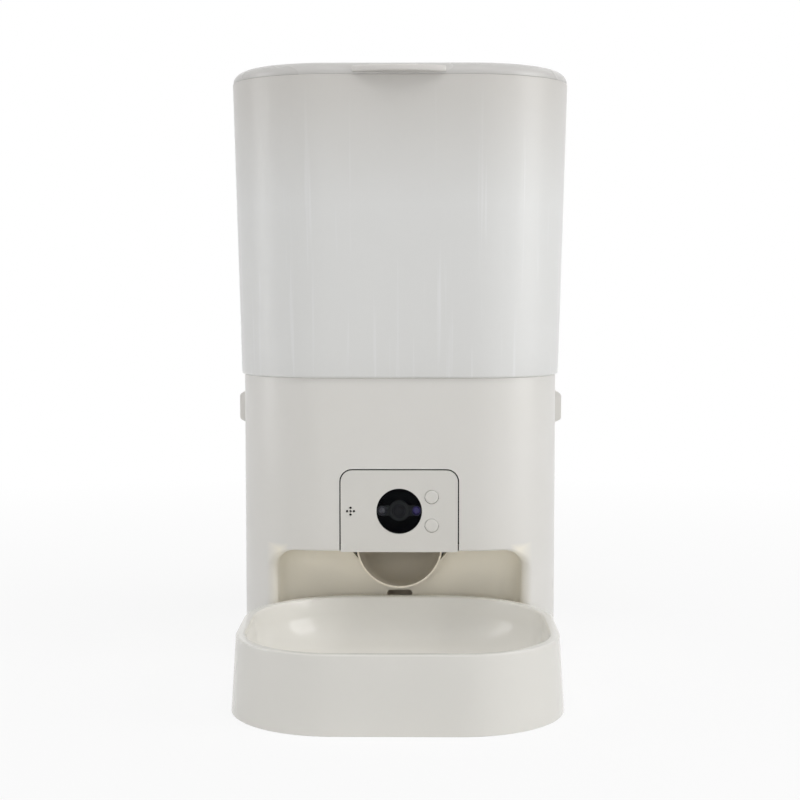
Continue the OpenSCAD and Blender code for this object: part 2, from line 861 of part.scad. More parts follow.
// The room before or behind the mitre of the chute's bend
module mitre_side(from, to) {
  translate([0, bend_y, alcove_h]) rotate([chute_slope / 2, 0, 0])
    box([-chute_run, from, -chute_run], [chute_run, to, chute_run]);
}

// Half-pipe that leads the food from the deck to the alcove
module food_chute() {
  cut_r = chute_r - chute_wall / 2;
  color(white_color) {
    intersection() {
      along_y(mouth_y, bend_y + chute_r) translate([0, alcove_h]) chute_section(0);
      mitre_side(-chute_run, 0);
    }
    intersection() {
      along_slope(chute_run) chute_section(chute_sides);
      mitre_side(0, chute_run);
      box([-base_w / 2, front, 0], [base_w / 2, base_d / 2, deck_z]);
    }
    difference() {
      box([-chute_flange_x, chute_flange_front, deck_z - chute_flange_t],
        [chute_flange_x, chute_flange_back, deck_z]);
      along_slope(chute_run + chute_r) {
        circle(cut_r);
        translate([-cut_r, 0]) square([2 * cut_r, 2 * chute_r]);
      }
    }
  }
}

// Deck that carries the drive, on four legs
module drive_deck() {
  bush_out = shaft_d + 2 * (shaft_gap + bush_wall);
  sleeve_d = outlet_d + 2;
  color(white_color) difference() {
    union() {
      translate([0, deck_mid, 0]) round_block(deck_w, deck_d, deck_r, deck_z, deck_top);
      for (p = leg_points) translate(p) post(leg_d, plate_top, deck_z + cut);
      translate([0, -outlet_offset, 0]) post(sleeve_d + 2 * sleeve_wall, deck_z, well_bottom - lift_gap);
    }
    translate([0, -outlet_offset, 0]) post(sleeve_d, deck_z - cut, well_floor);
    post(bush_out + 2 * screw_gap, deck_z - cut, deck_top + cut);
    for (p = standoff_points) translate(p) post(screw_d + 2 * screw_gap, deck_z - cut, deck_top + cut);
    for (p = leg_points) translate(p) post(screw_d + 2 * screw_gap, plate_top - cut, plate_top + screw_l);
  }
}

// Plate under the deck that carries the motor and the lower shaft bush
module motor_plate() {
  bush_out = shaft_d + 2 * (shaft_gap + bush_wall);
  color(steel_color) difference() {
    union() {
      translate([0, motor_plate_mid, 0])
        round_block(motor_plate_w, motor_plate_d, standoff_d / 2, motor_plate_bottom, motor_plate_top);
      for (p = standoff_points) translate(p) post(standoff_d, motor_plate_bottom, deck_z);
    }
    post(bush_out + 2 * screw_gap, motor_plate_bottom - cut, motor_plate_top + cut);
    translate([0, motor_y, 0]) {
      post(motor_shaft_d + 2, motor_plate_bottom - cut, motor_plate_top + cut);
      for (s = [-1, 1]) translate([s * motor_screw_x, 0, 0])
        post(screw_d + 2 * screw_gap, motor_plate_bottom - cut, motor_plate_top + cut);
    }
    for (p = standoff_points) translate(p) post(screw_d + 2 * screw_gap, deck_z - screw_l, deck_z + cut);
  }
}

// Gear motor hung under its plate: a gearbox, a longer can and two terminals
module gear_motor() {
  gearbox_l = motor_l * 0.4;
  cap_h = 2;
  pin_w = 0.8;
  pin_t = 2.4;
  pin_l = 5;
  color(steel_color) translate([0, motor_y, motor_plate_bottom]) difference() {
    union() {
      post(motor_d, -gearbox_l, 0);
      post(motor_d - 2, -motor_l, -gearbox_l);
      post(motor_d / 3, -motor_l - cap_h, -motor_l);
      for (s = [-1, 1]) translate([s * motor_d / 4, 0, 0])
        box([-pin_w / 2, -pin_t / 2, -motor_l - pin_l], [pin_w / 2, pin_t / 2, -motor_l]);
    }
    post(motor_shaft_d + 2 * shaft_gap, -pinion_shaft_l - cut, cut);
    for (s = [-1, 1]) translate([s * motor_screw_x, 0, 0])
      post(screw_d + 2 * screw_gap, -motor_screw_l, cut);
  }
}

// Screws of the motor and of its plate
module motor_screws() {
  color(steel_color) {
    for (s = [-1, 1]) translate([s * motor_screw_x, motor_y, motor_plate_top + board_head_h])
      rotate([180, 0, 0]) screw_up(screw_d, motor_plate_t + motor_screw_l - 2, board_head_d, board_head_h);
    for (p = standoff_points) translate([p[0], p[1], deck_top + screw_head_h])
      rotate([180, 0, 0]) screw_up(screw_d, screw_l, screw_head_d, screw_head_h);
  }
}

// A bush with a flange at its upper or lower end
module bush(z0, z1, flange_z) {
  bore = shaft_d + 2 * shaft_gap;
  out = bore + 2 * bush_wall;
  difference() {
    union() {
      post(out, z0, z1);
      post(out + 2 * bush_flange, flange_z, flange_z + bush_flange_t);
    }
    post(bore, motor_plate_bottom - cut, deck_top + cut);
  }
}

// Upper and lower bush of the drive shaft
module shaft_bushes() {
  color(brass_color) {
    bush(deck_z - bush_flange_t, deck_top, deck_z - bush_flange_t);
    bush(motor_plate_bottom, motor_plate_top + bush_flange_t, motor_plate_top);
  }
}

// Drive shaft, with the hexagon dog that turns the rotor
module drive_shaft() {
  color(steel_color) {
    post(shaft_d, motor_plate_bottom, dog_bottom);
    hex_bar(dog_flats, dog_bottom, well_floor + dog_rise);
  }
}

// Angle in degrees by which an involute has turned at radius r, from a base circle of radius rb
function involute(rb, r) = sqrt(pow(r / rb, 2) - 1) * 180 / PI - acos(rb / r);

// Flat outline of a gear with its first tooth along +X
module gear_outline(teeth) {
  pitch_r = tooth_module * teeth / 2;
  base = pitch_r * cos(pressure_angle);
  root = pitch_r - 1.25 * tooth_module;
  tip = pitch_r + tooth_module;
  start = max(base, root);
  steps = 4;
  half = 90 / teeth - tooth_play / 2 / pitch_r * 180 / PI + involute(base, pitch_r);
  radii = [for (k = [0:steps]) start + (tip - start) * k / steps];
  flank = [for (r = radii) [r, half - involute(base, r)]];
  tooth = concat(
    [[root, -flank[0][1]]],
    [for (f = flank) [f[0], -f[1]]],
    [for (k = [steps:-1:0]) flank[k]],
    [[root, flank[0][1]]]
  );
  polygon([
    for (i = [0:teeth - 1], t = tooth)
      t[0] * [cos(t[1] + i * 360 / teeth), sin(t[1] + i * 360 / teeth)]
  ]);
}

// Drive gear, with a gap between teeth facing the pinion
module drive_gear() {
  color(gear_color) difference() {
    translate([0, 0, gear_bottom]) linear_extrude(gear_t)
      rotate(90 + 180 / gear_teeth) gear_outline(gear_teeth);
    post(shaft_d + 2 * press_gap, gear_bottom - cut, gear_top + cut);
    for (a = [0:60:300]) rotate(a + 30) translate([gear_pitch_r * 0.58, 0, 0])
      post(gear_pitch_r * 0.3, gear_bottom - cut, gear_top + cut);
  }
}

// Motor pinion on the motor's output shaft
module drive_pinion() {
  color(brass_color) translate([0, motor_y, 0]) {
    translate([0, 0, gear_bottom]) linear_extrude(gear_t) rotate(-90) gear_outline(pinion_teeth);
    post(motor_shaft_d, motor_plate_bottom - pinion_shaft_l, gear_bottom + cut);
  }
}

// Control board on posts, with its chips and sockets
module control_board() {
  color(board_color) translate([control_at[0], control_at[1], control_z]) {
    box([0, 0, 0], [control_w, control_d, board_t]);
    for (c = control_chips) box([c[0], c[1], 0], [c[0] + c[2], c[1] + c[3], board_t + c[4]]);
    for (p = can_points) translate(p) cylinder(d = can_d, h = board_t + can_h);
  }
}

// Loudspeaker over the holes in the bottom plate
module speaker() {
  frame_h = 3;
  basket_h = 5;
  magnet_d = speaker_d * 0.6;
  cone_d = speaker_d - 5;
  cone_depth = 1.2;
  color(black_color) translate([speaker_at[0], speaker_at[1], plate_top]) difference() {
    union() {
      cylinder(d = speaker_d, h = frame_h);
      translate([0, 0, frame_h]) cylinder(d1 = cone_d, d2 = magnet_d, h = basket_h);
      cylinder(d = magnet_d, h = speaker_h);
    }
    translate([0, 0, -cut]) cylinder(d = cone_d, h = cone_depth + cut);
  }
}

// Round power inlet in the back wall, with its centre pin
module power_inlet() {
  outer = base_d / 2;
  color(black_color) translate([0, 0, inlet_z]) {
    difference() {
      union() {
        rod_y(inlet_flange_d, outer, outer + inlet_flange_t);
        rod_y(inlet_d, back_in - inlet_l, outer + inlet_flange_t / 2);
      }
      rod_y(inlet_bore_d, outer - inlet_bore_l, outer + inlet_flange_t + cut);
    }
    rod_y(inlet_pin_d, outer - inlet_bore_l - cut, outer - inlet_flange_t);
  }
}

// Release button on the right side: pad, flange, stem and catch head
module release_button() {
  outer = base_w / 2;
  pad_top = pad_bottom + pad_h;
  flange_half = pad_l / 2 + flange_over;
  color(shell_color) {
    along_y(-pad_l / 2, pad_l / 2) polygon([
      [flange_in, pad_bottom], [outer + pad_edge, pad_bottom], [outer + pad_proud, pad_bottom + pad_bevel],
      [outer + pad_proud, pad_top - pad_bevel], [outer + pad_edge, pad_top], [flange_in, pad_top]
    ]);
    box([flange_in, -flange_half, pad_bottom - flange_over],
      [flange_out, flange_half, pad_top + flange_over]);
    box([catch_in, -stem_w / 2, stem_bottom], [flange_in + cut, stem_w / 2, stem_top]);
    along_y(-catch_w / 2, catch_w / 2) polygon([
      [catch_in, stem_bottom], [catch_out, stem_bottom], [catch_out, stem_top - catch_bevel],
      [catch_out - catch_bevel, stem_top], [catch_in, stem_top]
    ]);
  }
}

module release_button_right() {
  release_button();
}

module release_button_left() {
  mirror([1, 0, 0]) release_button();
}

// Coil spring round the stem, between the guide and the flange
module release_spring() {
  from = guide_in + guide_t + spring_wire / 2;
  to = flange_in - spring_wire / 2;
  rings = 12 * spring_turns;
  sides = 6;
  pitch = (to - from) / rings;
  points = [
    for (i = [0:rings], j = [0:sides - 1])
      let (a = 30 * i, b = 360 / sides * j, r = spring_r + spring_wire / 2 * cos(b))
        [from + pitch * i + spring_wire / 2 * sin(b), r * cos(a), r * sin(a)]
  ];
  walls = [
    for (i = [0:rings - 1], j = [0:sides - 1])
      let (k = (j + 1) % sides) [i * sides + j, i * sides + k, (i + 1) * sides + k, (i + 1) * sides + j]
  ];
  first = [for (j = [sides - 1:-1:0]) j];
  last = [for (j = [0:sides - 1]) rings * sides + j];
  color(steel_color) translate([0, 0, (stem_bottom + stem_top) / 2])
    polyhedron(points, concat(walls, [first, last]));
}

module release_spring_right() {
  release_spring();
}

module release_spring_left() {
  mirror([1, 0, 0]) release_spring();
}

// Guides on the side walls that carry the stems and the springs
module release_guides() {
  arm_t = 2;
  color(white_color) both_sides() difference() {
    box([guide_in, -guide_w / 2, guide_bottom], [side_in, guide_w / 2, guide_top]);
    box([guide_in + guide_t, -guide_w / 2 + arm_t, guide_bottom - cut],
      [side_in + cut, guide_w / 2 - arm_t, guide_top + cut]);
    box([guide_in - cut, -stem_w / 2 - slide_gap, stem_bottom - slide_gap],
      [guide_in + guide_t + cut, stem_w / 2 + slide_gap, stem_top + slide_gap]);
  }
}

// A quarter disc in the lower right of its centre
module quarter(r) {
  intersection() {
    circle(r);
    translate([0, -r]) square(r);
  }
}

// See-through hopper with a flange that rests on the base
module hopper() {
  flange_reach = (hopper_w - ring_w) / 2 - slide_gap;
  rim_r = hopper_wall / 2;
  color(hopper_color) swept(hopper_w, hopper_d, hopper_r, hopper_r) {
    polygon([
      [0, hopper_bottom + hopper_foot_r], [hopper_flare, hopper_top - rim_r],
      [hopper_flare - hopper_wall, hopper_top - rim_r], [-hopper_wall, hopper_bottom + hopper_foot_r]
    ]);
    translate([hopper_flare - rim_r, hopper_top - rim_r]) circle(rim_r);
    translate([-hopper_foot_r, hopper_bottom + hopper_foot_r]) quarter(hopper_foot_r);
    translate([-flange_reach, hopper_bottom]) square([flange_reach - hopper_foot_r, hopper_wall]);
  }
}

// Catch tab under the funnel, with a notch for the stem and ledges for the catch head
module catch_tab() {
  half_notch = stem_w / 2 + notch_gap;
  difference() {
    union() {
      box([tab_in, -tab_w / 2, tab_bottom], [tab_out, tab_w / 2, tab_top]);
      box([tab_in - ledge_depth, -tab_w / 2, ledge_top - ledge_h], [tab_in + cut, tab_w / 2, ledge_top]);
    }
    box([catch_in, -half_notch, tab_bottom - cut], [tab_out + cut, half_notch, stem_top + notch_gap]);
  }
}

// Funnel with the rotor well under it, hung in the hopper's flange
module funnel() {
  cone_out = ring_w;
  cone_top = well_rim + (cone_out - well_out) * cone_rise;
  color(white_color) difference() {
    union() {
      post(2 * well_out, well_bottom, well_rim);
      intersection() {
        rotate_extrude() polygon([
          [well_out - cut, well_rim - cone_drop], [well_out, well_rim], [cone_out, cone_top],
          [cone_out, cone_top - cone_drop], [well_out, well_rim - cone_drop]
        ]);
        round_block(ring_w, ring_d, ring_r, well_bottom, flange_top + lip_t);
      }
      difference() {
        union() {
          round_block(ring_w, ring_d, ring_r, ring_bottom, flange_top + lip_t);
          round_block(ring_w + 2 * lip_over, ring_d + 2 * lip_over, ring_r + lip_over,
            flange_top, flange_top + lip_t);
        }
        round_block(ring_w - 2 * funnel_wall, ring_d - 2 * funnel_wall, ring_r - funnel_wall,
          ring_bottom - cut, flange_top + lip_t + cut);
      }
      both_sides() catch_tab();
    }
    post(2 * well_r, well_floor, well_rim + cut);
    post(rotor_spigot_d + 2 * spigot_gap, well_bottom - cut, well_floor + cut);
    translate([0, -outlet_offset, 0]) post(outlet_d, well_bottom - cut, well_floor + cut);
  }
}

// Guard over the outlet, so that food drops only from between the vanes
module outlet_guard() {
  color(white_color) translate([0, 0, well_rim]) rotate(-90 - guard_angle / 2)
    rotate_extrude(angle = guard_angle) translate([guard_in_r, 0]) square([ledge_r - guard_in_r, guard_t]);
}

// Feed rotor with soft vanes and a hexagon socket
module feed_rotor() {
  vane_r = well_r - vane_gap;
  color(seal_color) difference() {
    union() {
      post(rotor_spigot_d, well_bottom + rest_gap, rotor_bottom + cut);
      post(hub_d, rotor_bottom, vane_top);
      translate([0, 0, vane_top]) cylinder(d1 = hub_d, d2 = hub_d / 3, h = hub_d / 2);
      for (i = [0:vanes - 1]) rotate(i * 360 / vanes)
        box([hub_d / 4, -vane_t / 2, rotor_bottom], [vane_r, vane_t / 2, vane_top]);
    }
    hex_bar(dog_flats + 2 * socket_gap, well_bottom - cut, well_floor + dog_rise + rest_gap);
  }
}

// Lid with a solid border, a skirt inside the hopper, a desiccant pocket and a finger lip
module lid() {
  border = skirt_in + lid_wall;
  color(white_color) {
    swept(lid_w, lid_d, lid_r, lid_r) {
      translate([-border, lid_bottom]) square([border, lid_h - lid_edge_r]);
      translate([-border, lid_bottom]) square([border - lid_edge_r, lid_h]);
      translate([-lid_edge_r, lid_top - lid_edge_r]) mirror([0, 1]) quarter(lid_edge_r);
      translate([-border, lid_bottom - lid_skirt]) square([lid_wall, lid_skirt]);
    }
    round_block(lid_w - 2 * skirt_in, lid_d - 2 * skirt_in, lid_r - skirt_in, lid_top - lid_wall, lid_top);
    difference() {
      post(pocket_d, lid_top - lid_wall - pocket_h, lid_top - lid_wall / 2);
      post(pocket_d - 2 * pocket_wall, lid_top - lid_wall - pocket_h - cut, lid_top - lid_wall);
    }
    translate([0, 0, lid_bottom + lip_up + lip_h / 2])
      along_y(-lid_d / 2 - lip_proud, -lid_d / 2 + lid_edge_r) round_rect(lip_w, lip_h, lip_r);
  }
}

// Soft seal round the lid's skirt
module lid_seal() {
  color(seal_color) swept(lid_w, lid_d, lid_r, lid_r) translate([-skirt_in, lid_bottom - lid_skirt + seal_up])
    polygon([
      [0, 0], [seal_t, 0], [seal_t + seal_fin, seal_h], [seal_t, seal_h - seal_fin], [seal_t, seal_h],
      [0, seal_h]
    ]);
}

// Perforated cover of the desiccant pocket
module desiccant_cover() {
  top = lid_top - lid_wall - pocket_h;
  spigot_d = pocket_d - 2 * (pocket_wall + spigot_gap);
  color(white_color) difference() {
    union() {
      post(pocket_d, top - cover_t, top);
      post(spigot_d, top - cut, top + cover_rim);
    }
    post(spigot_d - 2 * cover_wall, top, top + cover_rim + cut);
    for (n = [0:3]) for (i = [0:max(1, 6 * n) - 1]) rotate(i * 360 / max(1, 6 * n))
      translate([n * cover_pitch, 0, 0]) post(cover_hole_d, top - cover_t - cut, top + cut);
  }
}

// Plan of the bowl, drawn in from its rim by a margin
module basin_plan(margin) {
  half_w = bowl_w / 2 - margin;
  half_d = bowl_depth / 2 - margin;
  front_r = bowl_r - margin;
  rear_r = bowl_rear_r - margin;
  translate([-half_w, -half_d + front_r]) square([2 * half_w, 2 * half_d - front_r - rear_r]);
  translate([-half_w + front_r, -half_d]) square([2 * (half_w - front_r), half_d]);
  translate([-half_w + rear_r, 0]) square([2 * (half_w - rear_r), half_d]);
  for (s = [-1, 1]) {
    translate([s * (half_w - front_r), -half_d + front_r]) circle(front_r);
    translate([s * (half_w - rear_r), half_d - rear_r]) circle(rear_r);
  }
}

// Bowl with a wide basin, a flat rim and a skirt, and the tongue that holds it in the alcove
module bowl() {
  fillet_v = rim_w + wall_lean + basin_r;
  fillet_z = basin_floor + basin_r;
  under_r = basin_r + bowl_wall;
  edge_r = 1;
  color(shell_color) {
    translate([0, bowl_y, 0]) {
      swept(bowl_w, bowl_depth, bowl_r, bowl_rear_r) mirror([1, 0]) {
        polygon([
          [-bowl_flare, bowl_bottom], [bowl_wall - bowl_flare, bowl_bottom], [bowl_wall, bowl_h - edge_r],
          [0, bowl_h - edge_r]
        ]);
        translate([edge_r, bowl_h - edge_r]) circle(edge_r);
        translate([edge_r, bowl_h - 2 * edge_r]) square([rim_w - edge_r, 2 * edge_r]);
        difference() {
          union() {
            polygon([
              [rim_w - bowl_wall, bowl_h - edge_r], [rim_w + wall_lean - bowl_wall, fillet_z],
              [fillet_v, fillet_z], [fillet_v, bowl_h - edge_r]
            ]);
            translate([fillet_v, fillet_z]) mirror([1, 0]) quarter(under_r);
          }
          polygon([
            [rim_w, bowl_h + cut], [rim_w, bowl_h], [rim_w + wall_lean, fillet_z], [fillet_v + cut, fillet_z],
            [fillet_v + cut, bowl_h + cut]
          ]);
          translate([fillet_v, fillet_z]) circle(basin_r);
        }
      }
      translate([0, 0, basin_floor - bowl_wall]) linear_extrude(bowl_wall) basin_plan(fillet_v);
    }
    box([-tongue_w / 2, face_y + bowl_inset - cut, tongue_slot_bottom + lift_gap],
      [tongue_w / 2, face_y + bowl_inset - cut + tongue_l, tongue_slot_bottom + lift_gap + tongue_h]);
  }
}

at_body() body_shell();
at_body() bottom_plate();
at_body() rubber_feet();
at_body() case_screws();
at_body() camera_panel();
at_body() camera_window();
at_body() camera_carrier();
at_body() camera_lens();
at_body() infrared_lamps();
at_body() camera_board();
at_body() board_screws();
at_body() button_switches();
at_body() microphone();
at_body() feed_button();
at_body() reset_button();
at_body() food_chute();
at_body() drive_deck();
at_body() motor_plate();
at_body() gear_motor();
at_body() motor_screws();
at_body() shaft_bushes();
at_body() drive_shaft();
at_body() drive_gear();
at_body() drive_pinion();
at_body() control_board();
at_body() speaker();
at_body() power_inlet();
at_body() release_button_left();
at_body() release_button_right();
at_body() release_spring_left();
at_body() release_spring_right();
at_body() release_guides();
at_body() hopper();
at_body() funnel();
at_body() outlet_guard();
at_body() feed_rotor();
at_body() lid();
at_body() lid_seal();
at_body() desiccant_cover();
bowl();
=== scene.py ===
"""Looks of an upright pet feeder with a camera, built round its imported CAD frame.

Drafts are drawn in millimetres in the frame's own axes and turned into metres when a mesh is made.
The front of the feeder faces -Y, +Z is up, and the feeder's upright axis stands at BODY_Y.
"""

from __future__ import annotations

import logging
import math
from dataclasses import dataclass
from enum import Enum
from typing import Any, Callable, Iterable, Sequence

import bmesh
import bpy
from mathutils import Matrix, Vector
from mathutils.geometry import delaunay_2d_cdt

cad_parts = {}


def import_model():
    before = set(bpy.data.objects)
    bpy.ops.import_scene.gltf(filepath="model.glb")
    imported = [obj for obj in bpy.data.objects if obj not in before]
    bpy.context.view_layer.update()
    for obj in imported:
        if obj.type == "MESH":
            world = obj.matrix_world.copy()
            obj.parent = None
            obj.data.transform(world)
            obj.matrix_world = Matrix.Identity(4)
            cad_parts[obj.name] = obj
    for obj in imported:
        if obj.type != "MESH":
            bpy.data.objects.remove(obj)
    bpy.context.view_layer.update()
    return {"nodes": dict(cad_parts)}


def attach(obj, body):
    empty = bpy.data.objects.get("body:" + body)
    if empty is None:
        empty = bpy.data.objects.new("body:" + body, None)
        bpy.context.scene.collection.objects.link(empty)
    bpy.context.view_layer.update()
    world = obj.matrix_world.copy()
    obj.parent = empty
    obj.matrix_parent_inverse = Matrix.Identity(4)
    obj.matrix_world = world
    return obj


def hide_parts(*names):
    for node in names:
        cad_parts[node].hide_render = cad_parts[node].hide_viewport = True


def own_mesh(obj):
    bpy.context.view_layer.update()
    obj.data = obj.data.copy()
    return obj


LOG = logging.getLogger("feeder")

MM = 0.001
FACE_Y = -29.875
BODY_Y = 62.125

Point2 = tuple[float, float]
Point3 = tuple[float, float, float]
Color = tuple[float, float, float]
Socket = bpy.types.NodeSocket

# Steps round a corner of a swept outline, plain and fine, and the length of a step along its sides
CORNER_STEPS = 24
FINE_STEPS = 32
SIDE_STEP = 9.0

# Steps of a rounded corner in a section and in an outline
SOFT_STEPS = 6
OUTLINE_STEPS = 8

# Largest angles in degrees between faces that still shade as one, and the least that is rounded off
FACETED = 25
CRISP = 30
SMOOTH = 35
ROUNDED = 40
EDGE_ANGLE = 50

# Distances in metres under which points of a mesh count as one
MERGE = 2e-6
WALL_MERGE = 4e-6


def srgb(*channels: int) -> Color:
    """Turns a colour as a screen shows it into the linear one that shaders take.

    Args:
        channels: Red, green and blue, each from 0 to 255.

    Returns:
        The linear colour.
    """
    shares = [channel / 255 for channel in channels]
    # The numbers are those of the sRGB curve
    return tuple(s / 12.92 if s <= 0.04045 else ((s + 0.055) / 1.055) ** 2.4 for s in shares)


def put(name: str, data: bpy.types.ID) -> bpy.types.Object:
    """Puts a mesh, a lamp or a camera into the scene.

    Args:
        name: Name of the new object.
        data: What it shows.

    Returns:
        The new object, at the origin.
    """
    made = bpy.data.objects.new(name, data)
    bpy.context.scene.collection.objects.link(made)
    return made


class Axis(Enum):
    """The axis along which a flat outline is pushed or round which a profile turns."""

    X = 0
    Y = 1
    Z = 2

    def place(self, flat: Point2, along: float) -> Point3:
        """Puts a flat point and its place along the axis into space.

        Args:
            flat: The two coordinates across the axis, in the order X, Y, Z.
            along: The coordinate along the axis.

        Returns:
            The point in space.
        """
        if self is Axis.X:
            return along, flat[0], flat[1]
        if self is Axis.Y:
            return flat[0], along, flat[1]
        return flat[0], flat[1], along


def arc(centre: Point2, radius: float, start: float, end: float, steps: int) -> list[Point2]:
    """Points on an arc.

    Args:
        centre: Centre of the arc.
        radius: Its radius.
        start: First angle in degrees.
        end: Last angle in degrees.
        steps: Number of steps between the two.

    Returns:
        The points, both ends included.
    """
    turns = [math.radians(start + (end - start) * i / steps) for i in range(steps + 1)]
    return [(centre[0] + radius * math.cos(t), centre[1] + radius * math.sin(t)) for t in turns]


def ring(centre: Point2, radius: float, steps: int) -> list[Point2]:
    """Points round a whole circle, without repeating the first."""
    return arc(centre, radius, 0, 360, steps)[:-1]


def soften(corners: Sequence[tuple[float, float, float]], closed: bool, steps: int = 5) -> list[Point2]:
    """Rounds the corners of a polyline.

    Args:
        corners: Each corner as x, y and the radius that it gets.
        closed: Whether the line returns to its first corner.
        steps: Steps of each rounding.

    Returns:
        The rounded line's points.
    """
    count = len(corners)
    points: list[Point2] = []
    for i, (x, y, radius) in enumerate(corners):
        if radius <= 0 or (not closed and i in (0, count - 1)):
            points.append((x, y))
            continue
        here = Vector((x, y))
        before = (Vector(corners[i - 1][:2]) - here).normalized()
        after = (Vector(corners[(i + 1) % count][:2]) - here).normalized()
        half = before.angle(after) / 2
        reach = radius / math.tan(half)
        middle = here + (before + after).normalized() * (radius / math.sin(half))
        first = here + before * reach - middle
        last = here + after * reach - middle
        turn = first.angle_signed(last)
        for k in range(steps + 1):
            way = first.copy()
            way.rotate(Matrix.Rotation(-turn * k / steps, 2))
            points.append((middle.x + way.x, middle.y + way.y))
    return points


def slab_outline(width: float, height: float, radius: float, centre: Point2 = (0, 0)) -> list[Point2]:
    """A rounded rectangle.

    Args:
        width: Its full width.
        height: Its full height.
        radius: Radius of its corners.
        centre: Its middle.

    Returns:
        The outline's points.
    """
    x, y = width / 2, height / 2
    corners = [(-x, -y), (x, -y), (x, y), (-x, y)]
    return soften([(centre[0] + a, centre[1] + b, radius) for a, b in corners], True)


def is_inside(point: Point2, loops: Sequence[Sequence[Point2]]) -> bool:
    """Whether a point lies in the outline and outside its holes, by the odd-even rule."""
    odd = False
    for loop in loops:
        for i, (x0, y0) in enumerate(loop):
            x1, y1 = loop[i - 1]
            if (y0 > point[1]) == (y1 > point[1]):
                continue
            if point[0] < (x1 - x0) * (point[1] - y0) / (y1 - y0) + x0:
                odd = not odd
    return odd


@dataclass(frozen=True)
class RoundRect:
    """An upright rounded rectangle whose outline can be walked, starting at the middle of its front.

    Attributes:
        width: Size along X.
        depth: Size along Y.
        corner: Radius of the corners.
        centre_y: Middle along Y.
        rear: Radius of the rear corners, where it differs from the front ones.
    """

    width: float
    depth: float
    corner: float
    centre_y: float = BODY_Y
    rear: float = 0.0

    def _runs(self) -> list[tuple[Vector, Vector, float, float]]:
        """Straight runs round the outline from the middle of the front.

        Returns:
            Start, direction and length of each run, and the radius of the corner after it.
        """
        x, y = self.width / 2, self.depth / 2
        front, rear = self.corner, self.rear or self.corner
        side = self.depth - front - rear
        low, high = self.centre_y - y, self.centre_y + y
        return [
            (Vector((0, low)), Vector((1, 0)), x - front, front),
            (Vector((x, low + front)), Vector((0, 1)), side, rear),
            (Vector((x - rear, high)), Vector((-1, 0)), 2 * (x - rear), rear),
            (Vector((-x, high - rear)), Vector((0, -1)), side, front),
            (Vector((-x + front, low)), Vector((1, 0)), x - front, 0.0),
        ]

    @property
    def length(self) -> float:
        """Length of the whole outline."""
        return sum(run + math.pi / 2 * radius for _, _, run, radius in self._runs())

    def at(self, walk: float) -> tuple[Vector, Vector]:
        """The outline's point and outward direction after a walk.

        Args:
            walk: Distance from the middle of the front, counter-clockwise seen from above.

        Returns:
            The point and the outward direction, both flat.
        """
        rest = walk % self.length
        for start, way, run, radius in self._runs():
            out = Vector((way.y, -way.x))
            if rest <= run or radius == 0:
                return start + way * min(rest, run), out
            rest -= run
            bend = math.pi / 2 * radius
            if rest <= bend:
                middle = start + way * run - out * radius
                turn = rest / radius
                turned = out * math.cos(turn) + way * math.sin(turn)
                return middle + turned * radius, turned
            rest -= bend
        return self._runs()[0][0], Vector((0, -1))

    def walks(self, per_corner: int = CORNER_STEPS) -> list[float]:
        """Distances at which the outline is sampled, fine round the corners."""
        found = [0.0]
        for _, _, run, radius in self._runs():
            steps = max(1, round(run / SIDE_STEP))
            for length, parts in ((run, steps), (math.pi / 2 * radius, per_corner)):
                base = found[-1]
                if length > 0:
                    found += [base + length * (k + 1) / parts for k in range(parts)]
        return found[:-1]

    def loop(self, out: float, height: float, per_corner: int = CORNER_STEPS) -> list[Point3]:
        """The whole outline, moved outwards and lifted.

        Args:
            out: How far outwards it is moved.
            height: Its height.
            per_corner: Steps round a corner.

        Returns:
            The outline's points.
        """
        points = []
        for walk in self.walks(per_corner):
            point, normal = self.at(walk)
            points.append((point.x + normal.x * out, point.y + normal.y * out, height))
        return points


